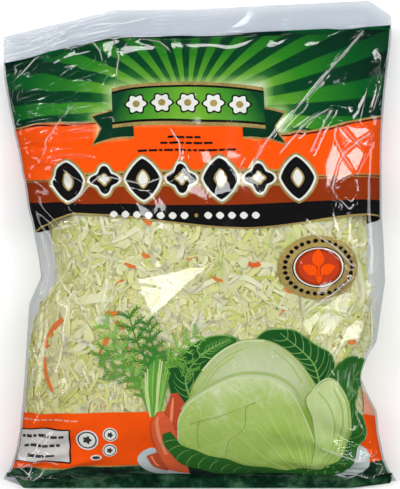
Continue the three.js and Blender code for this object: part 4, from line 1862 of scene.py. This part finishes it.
def build_core():
    """The mass of packed shreds, whose surface lies just behind the loose ones."""
    rng = np.random.default_rng(CORE_SEED)
    rows = np.arange(FILL_FROM, FILL_TO, CORE_CELL)
    ring = -GIRTH / 2 + GIRTH * np.arange(CORE_COLUMNS) / CORE_COLUMNS
    across, along = np.meshgrid(ring, rows)
    bumps = rng.normal(0, 1, across.shape)
    bumps = (bumps + np.roll(bumps, 1, 1) + np.roll(bumps, 1, 0)) / 3
    _, shares, walked = body_length_of_film()
    room = 0.36 * thickness(np.interp(along, walked, shares))
    sunk = np.maximum(0, film().sunk(across, along))
    depth = np.minimum(CORE_DEPTH + sunk + slack(across, along) + 0.9 * bumps, room)
    points = film().inside(across, along, depth)
    points[..., 2] = np.maximum(points[..., 2], 0.6)
    count = across.size
    last = count - CORE_COLUMNS
    faces = grid_faces(len(rows), CORE_COLUMNS, closed=True).tolist()
    for i in range(CORE_COLUMNS):
        after = (i + 1) % CORE_COLUMNS
        faces += [(count, after, i), (count + 1, last + i, last + after)]
    points = np.concatenate([points.reshape(-1, 3), points[[0, -1]].mean(1)])
    mesh_piece("packed_core", points, faces, [core_finish()])


def shred_paths(rng, count, length, curl, shortest=0.45):
    """Random curved paths over the film's flat coordinates, spread evenly over the window."""
    steps = np.linspace(-0.5, 0.5, PATH_POINTS)
    sizes = length * (shortest + (1 - shortest) * 2 * rng.random(count) ** 1.5)
    heading = rng.uniform(0, 2 * np.pi, count)
    bend = rng.normal(0, curl, count)
    twist = rng.normal(0, curl * 0.7, count)
    middle_across, middle_along = spread(rng, count)
    turn = heading[:, None] + bend[:, None] * steps + twist[:, None] * (4 * steps**2 - 0.5)
    step = (sizes / (PATH_POINTS - 1))[:, None]
    across = np.cumsum(np.cos(turn) * step, 1)
    along = np.cumsum(np.sin(turn) * step, 1)
    across += (middle_across - across.mean(1))[:, None]
    along += (middle_along - along.mean(1))[:, None]
    return across, np.clip(along, SHOWS_FROM - PATH_MARGIN, SHOWS_TO + PATH_MARGIN)


def spread(rng, count):
    """Places spread evenly, and not on a grid, over the window round the whole bag."""
    across, along = (
        (np.arange(count) * step + rng.normal(0, 0.01, count)) % 1 for step in SPREAD_STEPS
    )
    return across * GIRTH - GIRTH / 2, along * (SHOWS_TO - SHOWS_FROM) + SHOWS_FROM


def scatter(name, material, rng, paths, width, thick, depth, lift, clearance):
    """Cut pieces along paths, as one mesh with a tone for each piece."""
    across, along = paths
    count = len(across)
    steps = np.linspace(-1, 1, PATH_POINTS)
    wave = rng.uniform(0, 2 * np.pi, count)[:, None]
    below = depth[:, None] + lift * np.sin(wave + 2.2 * steps)
    below = np.maximum(clearance + 0.5 * thick, below) + slack(across, along)
    below = below + np.maximum(0, film().sunk(across, along))
    middle = film().inside(across, along, below)
    inward = -film().outward(across, along)
    ahead = unit(np.gradient(middle, axis=1))
    side = unit(np.cross(inward, ahead))
    roll = rng.normal(0, 0.22, (count, 1)) + rng.normal(0, 0.18, (count, 1)) * steps
    flatways = np.cos(roll)[..., None] * side + np.sin(roll)[..., None] * inward
    upways = np.cross(ahead, flatways)
    taper = (1 - 0.3 * np.abs(steps) ** 6)[None] * rng.uniform(0.84, 1.12, (count, PATH_POINTS))
    half_width = (width[:, None] / 2 * taper)[..., None]
    corners = [
        middle + flatways * half_width * sign_x + upways * (thick / 2) * sign_z
        for sign_x, sign_z in ((-1, -1), (1, -1), (1, 1), (-1, 1))
    ]
    points = kept_inside(np.stack(corners, 2), across, along, width, roll, clearance)
    points[..., 2] = np.maximum(points[..., 2], 0.4)
    tone = np.clip(rng.normal(0.5, 0.22, count), 0, 1)
    mesh_cut_pieces(name, points, tone, material)


def mesh_cut_pieces(name, points, tone, material):
    """One mesh of pieces with four corners a section; their long edges stay crisp."""
    count = len(points)
    sides = np.stack([points, np.roll(points, -1, 2)], 3)  # piece, section, side, edge
    index = np.arange(sides[..., 0].size).reshape(count, PATH_POINTS, 4, 2)
    quads = [index[:, :-1, :, 0], index[:, :-1, :, 1], index[:, 1:, :, 1], index[:, 1:, :, 0]]
    ends = points[:, [0, -1]]
    end_index = index.size + np.arange(ends[..., 0].size).reshape(count, 2, 4)
    faces = np.concatenate(
        [np.stack(quads, -1).reshape(-1, 4), end_index[:, 0, ::-1], end_index[:, 1]]
    )
    corners = np.concatenate([sides.reshape(-1, 3), ends.reshape(-1, 3)])
    tones = np.concatenate([np.repeat(tone, PATH_POINTS * 8), np.repeat(tone, 8)])
    mesh_piece(name, corners, faces, [material], values={"tone": tones})


def kept_inside(points, across, along, width, roll, clearance):
    """Bends the corners of shreds inwards wherever they would touch the film."""
    ahead = unit(np.stack([np.gradient(across, axis=1), np.gradient(along, axis=1)], -1))
    reach = width[:, None] / 2 * np.cos(roll)
    for corner, sign in enumerate((-1, 1, 1, -1)):
        corner_across = across + sign * reach * ahead[..., 1]
        corner_along = along - sign * reach * ahead[..., 0]
        outward = film().outward(corner_across, corner_along)
        over = ((points[:, :, corner] - film().at(corner_across, corner_along)) * outward).sum(-1)
        points[:, :, corner] -= outward * np.maximum(0, over + clearance)[..., None]
    return points


def layered(rng, count, deepest):
    """A depth for each shred: most lie a little under the uppermost."""
    return SHRED_DEPTH + deepest * rng.random(count) ** 0.8


def build_filling(settings):
    """The loose cabbage: three tones of fine shreds, and wider flakes of leaf."""
    rng = np.random.default_rng(settings.seed)
    width = settings.shred_width / MM
    length = settings.shred_length / MM
    for name, share, pale, deep in CABBAGE_KINDS:
        count = round(settings.cabbage * share)
        paths = shred_paths(rng, count, length, 2.0, 0.3)
        widths = width * rng.lognormal(0, 0.4, count)
        depth = layered(rng, count, 2.8)
        scatter(name, shred_finish(name, pale, deep), rng, paths, widths, 0.8, depth, 0.6, CLEARANCE)
    count = settings.flakes
    paths = shred_paths(rng, count, length * 0.4, 0.6)
    widths = rng.uniform(2.4, 6.8, count)
    depth = layered(rng, count, 2.2)
    material = shred_finish("leaf_flakes", (250, 245, 194), (220, 216, 130))
    scatter("leaf_flakes", material, rng, paths, widths, 0.6, depth, 0.3, CLEARANCE)


def build_carrot(settings):
    """Carrot shreds: a few at set places in the window, the others wherever they fall."""
    rng = np.random.default_rng(settings.seed + 1)
    count = settings.carrot
    across, along = shred_paths(rng, count, 9, 0.5)
    width = rng.uniform(1.6, 2.6, count)
    depth = layered(rng, count, 2.4)
    t = np.linspace(0, 1, PATH_POINTS)[:, None]
    for number, (*places, wide) in enumerate(CARROT_STRIPS[:count]):
        start, middle, stop = np.array(places, float)
        path = start * (1 - t) ** 2 + middle * 2 * t * (1 - t) + stop * t**2
        across[number], along[number] = path.T
        width[number] = wide
        depth[number] = CARROT_CLEARANCE
    material = shred_finish("carrot_shreds", (255, 150, 58), (238, 100, 30))
    paths = across, along
    scatter("carrot_shreds", material, rng, paths, width, 0.9, depth, 0.2, CARROT_CLEARANCE)


# ---- The stage.


CAMERA_AIM = 24.0  # height on the bag that the frame is measured at
FLOOR_REACH = 3000.0
FLOOR_DROP = 0.5
SKY = (0.92, 0.96, 1.0)
SKY_STRENGTH = 0.05
SOFTBOXES = (  # name, compass angle, angle from upright, width, length, power, use
    ("fill_over", 90.0, 5.0, 1500, 1500, 14.6, "colour"),
    ("fill_left", 165.0, 40.0, 700, 700, 12.5, "colour"),
    ("fill_right", 15.0, 40.0, 700, 700, 12.5, "colour"),
    ("panel_left", 178.0, 82.0, 200, 900, 2.6, "gloss"),
    ("panel_right", 4.0, 80.0, 200, 1000, 3.4, "gloss"),
    ("panel_top", 100.0, 86.0, 260, 700, 6.0, "gloss"),
    ("strip_left", 176.0, 46.0, 50, 700, 1.0, "gloss"),
    ("strip_right", 4.0, 50.0, 50, 1200, 2.2, "gloss"),
    ("glint_side", -4.0, 36.9, 230, 230, 1.1, "gloss"),
    ("glint_corner", 41.0, 46.5, 220, 220, 2.2, "gloss"),
    ("strip_high", 135.0, 60.0, 50, 900, 0.7, "gloss"),
    ("strip_low", -45.0, 60.0, 50, 900, 1.6, "gloss"),
    ("glint_top", 88.0, 27.9, 180, 180, 1.2, "gloss"),
    ("glint_near", 138.0, 12.1, 100, 100, 0.40, "gloss"),
    ("glint_tuck", 135.0, 60.0, 130, 130, 2.6, "gloss"),
)


def build_floor():
    """A plain pale floor, which the film's gloss doesn't show."""
    mesh = bpy.data.meshes.new("floor")
    signs = ((-1, -1), (1, -1), (1, 1), (-1, 1))
    corners = [(x * FLOOR_REACH * MM, y * FLOOR_REACH * MM, -FLOOR_DROP * MM) for x, y in signs]
    mesh.from_pydata(corners, [], [(0, 1, 2, 3)])
    f = Finish("floor_paper")
    grain = f.ramp(f.noise(40, 2.0), [(0.3, (0.88, 0.88, 0.88)), (0.7, (0.90, 0.90, 0.90))])
    mesh.materials.append(f.principled(grain, 0.9))
    floor = add_object("floor", mesh)
    floor.visible_glossy = False


def build_camera(settings):
    """A camera straight over the bag."""
    data = bpy.data.cameras.new("camera")
    data.lens = data.sensor_width * settings.camera_height / settings.frame_height
    camera = add_object("camera", data)
    camera.location = (0, 0, settings.camera_height + CAMERA_AIM * MM)
    bpy.context.scene.camera = camera


def build_softbox(settings, name, compass, upright, width, length, power, use):
    """A softbox that faces the bag, and lights its colours or shows in its gloss alone."""
    data = bpy.data.lights.new(name, "AREA")
    data.shape = "RECTANGLE"
    data.size = width * MM
    data.size_y = length * MM
    data.energy = power * settings.light_level
    light = add_object(name, data)
    light.visible_glossy = use == "gloss"
    light.visible_diffuse = use == "colour"
    tilt = math.radians(upright)
    turn = math.radians(compass)
    level = math.sin(tilt)
    direction = Vector((level * math.cos(turn), level * math.sin(turn), math.cos(tilt)))
    light.location = direction * settings.light_distance
    light.rotation_euler = (0, tilt, turn)


def build_stage(settings):
    """Floor, camera, softboxes and a faint even light from all round."""
    build_floor()
    build_camera(settings)
    for softbox in SOFTBOXES:
        build_softbox(settings, *softbox)
    world = bpy.data.worlds.new("studio")
    world.use_nodes = True
    background = world.node_tree.nodes["Background"]
    background.inputs["Color"].default_value = (*SKY, 1)
    background.inputs["Strength"].default_value = SKY_STRENGTH
    bpy.context.scene.world = world
    bpy.context.scene.view_settings.view_transform = "Standard"


def print_inks():
    """Every ink by name; the first call makes the materials."""
    settings = bpy.context.scene.coleslaw_print
    makers = {name: partial(ink_finish, colour=getattr(settings, name)) for name in CHOSEN_INKS}
    for name, colour in INK_COLOURS.items():
        makers[name] = partial(ink_finish, colour=linear(*colour))
    # Gold's stronger mottle is partly a painted sheen, for the changing shine of metallic ink.
    makers["gold"] = partial(ink_finish, colour=settings.gold, fleck=0.3)
    makers["sunburst"] = partial(sunburst_finish, dark=settings.dark_green)
    makers["cabbage_head"] = head_finish
    makers["plate_green"] = plate_finish
    makers["foot_green"] = foot_crumple_shading_finish
    makers["orange_glow"] = partial(halo_finish, plain=settings.orange)
    makers["wrap_leaf"] = partial(streaked_finish, root=WRAP_ROOT, top=88, stops=WRAP_STOPS)
    makers["wrapper"] = partial(streaked_finish, root=SIDE_LEAF_ROOT, top=90, stops=SIDE_LEAF_STOPS)
    ready = bpy.data.materials
    return {name: ready.get("ink_" + name) or make("ink_" + name) for name, make in makers.items()}


# ---- The add-on.


class OBJECT_OT_bag_film(bpy.types.Operator):
    """Make the clear film of the bag with its folds and seals"""

    bl_idname = "object.bag_film"
    bl_label = "Film"

    def execute(self, context):
        build_film()
        build_back_seam()
        return {"FINISHED"}


class OBJECT_OT_bag_panels(bpy.types.Operator):
    """Make the printed bands over and under the window"""

    bl_idname = "object.bag_panels"
    bl_label = "Printed bands"

    def execute(self, context):
        build_top_panel(print_inks())
        build_foot_panel(print_inks())
        return {"FINISHED"}


class OBJECT_OT_bag_plate(bpy.types.Operator):
    """Make the name plate with its ribbon and rosettes"""

    bl_idname = "object.bag_plate"
    bl_label = "Name plate"

    def execute(self, context):
        build_name_plate(print_inks())
        return {"FINISHED"}


class OBJECT_OT_bag_ornaments(bpy.types.Operator):
    """Make the row of title ornaments"""

    bl_idname = "object.bag_ornaments"
    bl_label = "Title ornaments"

    def execute(self, context):
        build_ornaments(print_inks())
        return {"FINISHED"}


class OBJECT_OT_bag_emblem(bpy.types.Operator):
    """Make the oval emblem"""

    bl_idname = "object.bag_emblem"
    bl_label = "Emblem"

    def execute(self, context):
        build_emblem(print_inks())
        return {"FINISHED"}


class OBJECT_OT_bag_label(bpy.types.Operator):
    """Make the small label and its round marks"""

    bl_idname = "object.bag_label"
    bl_label = "Label"

    def execute(self, context):
        build_label(print_inks())
        return {"FINISHED"}


class OBJECT_OT_bag_vegetables(bpy.types.Operator):
    """Make the printed cabbage and carrots"""

    bl_idname = "object.bag_vegetables"
    bl_label = "Vegetable picture"

    def execute(self, context):
        build_vegetables(print_inks())
        return {"FINISHED"}


class OBJECT_OT_bag_filling(bpy.types.Operator):
    """Fill the bag with shredded cabbage"""

    bl_idname = "object.bag_filling"
    bl_label = "Cabbage"

    def execute(self, context):
        build_core()
        build_filling(context.scene.coleslaw_filling)
        return {"FINISHED"}


class OBJECT_OT_bag_carrot(bpy.types.Operator):
    """Scatter the carrot shreds"""

    bl_idname = "object.bag_carrot"
    bl_label = "Carrot"

    def execute(self, context):
        build_carrot(context.scene.coleslaw_filling)
        return {"FINISHED"}


class SCENE_OT_bag_stage(bpy.types.Operator):
    """Set up the floor, the lights and the camera"""

    bl_idname = "scene.bag_stage"
    bl_label = "Stage"

    def execute(self, context):
        build_stage(context.scene.coleslaw_stage)
        return {"FINISHED"}


OPERATORS = (
    OBJECT_OT_bag_film,
    OBJECT_OT_bag_panels,
    OBJECT_OT_bag_plate,
    OBJECT_OT_bag_ornaments,
    OBJECT_OT_bag_emblem,
    OBJECT_OT_bag_label,
    OBJECT_OT_bag_vegetables,
    OBJECT_OT_bag_filling,
    OBJECT_OT_bag_carrot,
    SCENE_OT_bag_stage,
)


class VIEW3D_PT_coleslaw_bag(bpy.types.Panel):
    """The pieces of the bag, in the order they are made"""

    bl_label = "Coleslaw Bag"
    bl_space_type = "VIEW_3D"
    bl_region_type = "UI"
    bl_category = "Coleslaw Bag"

    def draw(self, context):
        for name, group in SETTINGS.items():
            box = self.layout.box()
            for key in group.__annotations__:
                box.prop(getattr(context.scene, name), key)
        for operator in OPERATORS:
            self.layout.operator(operator.bl_idname)


def register():
    """Adds the settings, the operators and the panel."""
    for group in SETTINGS.values():
        bpy.utils.register_class(group)
    for name, group in SETTINGS.items():
        setattr(bpy.types.Scene, name, PointerProperty(type=group))
    for operator in OPERATORS:
        bpy.utils.register_class(operator)
    bpy.utils.register_class(VIEW3D_PT_coleslaw_bag)


def unregister():
    """Takes them away again."""
    bpy.utils.unregister_class(VIEW3D_PT_coleslaw_bag)
    for operator in reversed(OPERATORS):
        bpy.utils.unregister_class(operator)
    for name, group in SETTINGS.items():
        delattr(bpy.types.Scene, name)
        bpy.utils.unregister_class(group)


def main():
    """Builds the whole scene with the add-on's own operators."""
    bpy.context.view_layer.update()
    register()
    for operator in OPERATORS:
        group, name = operator.bl_idname.split(".")
        getattr(getattr(bpy.ops, group), name)()


if __name__ == "__main__":
    main()
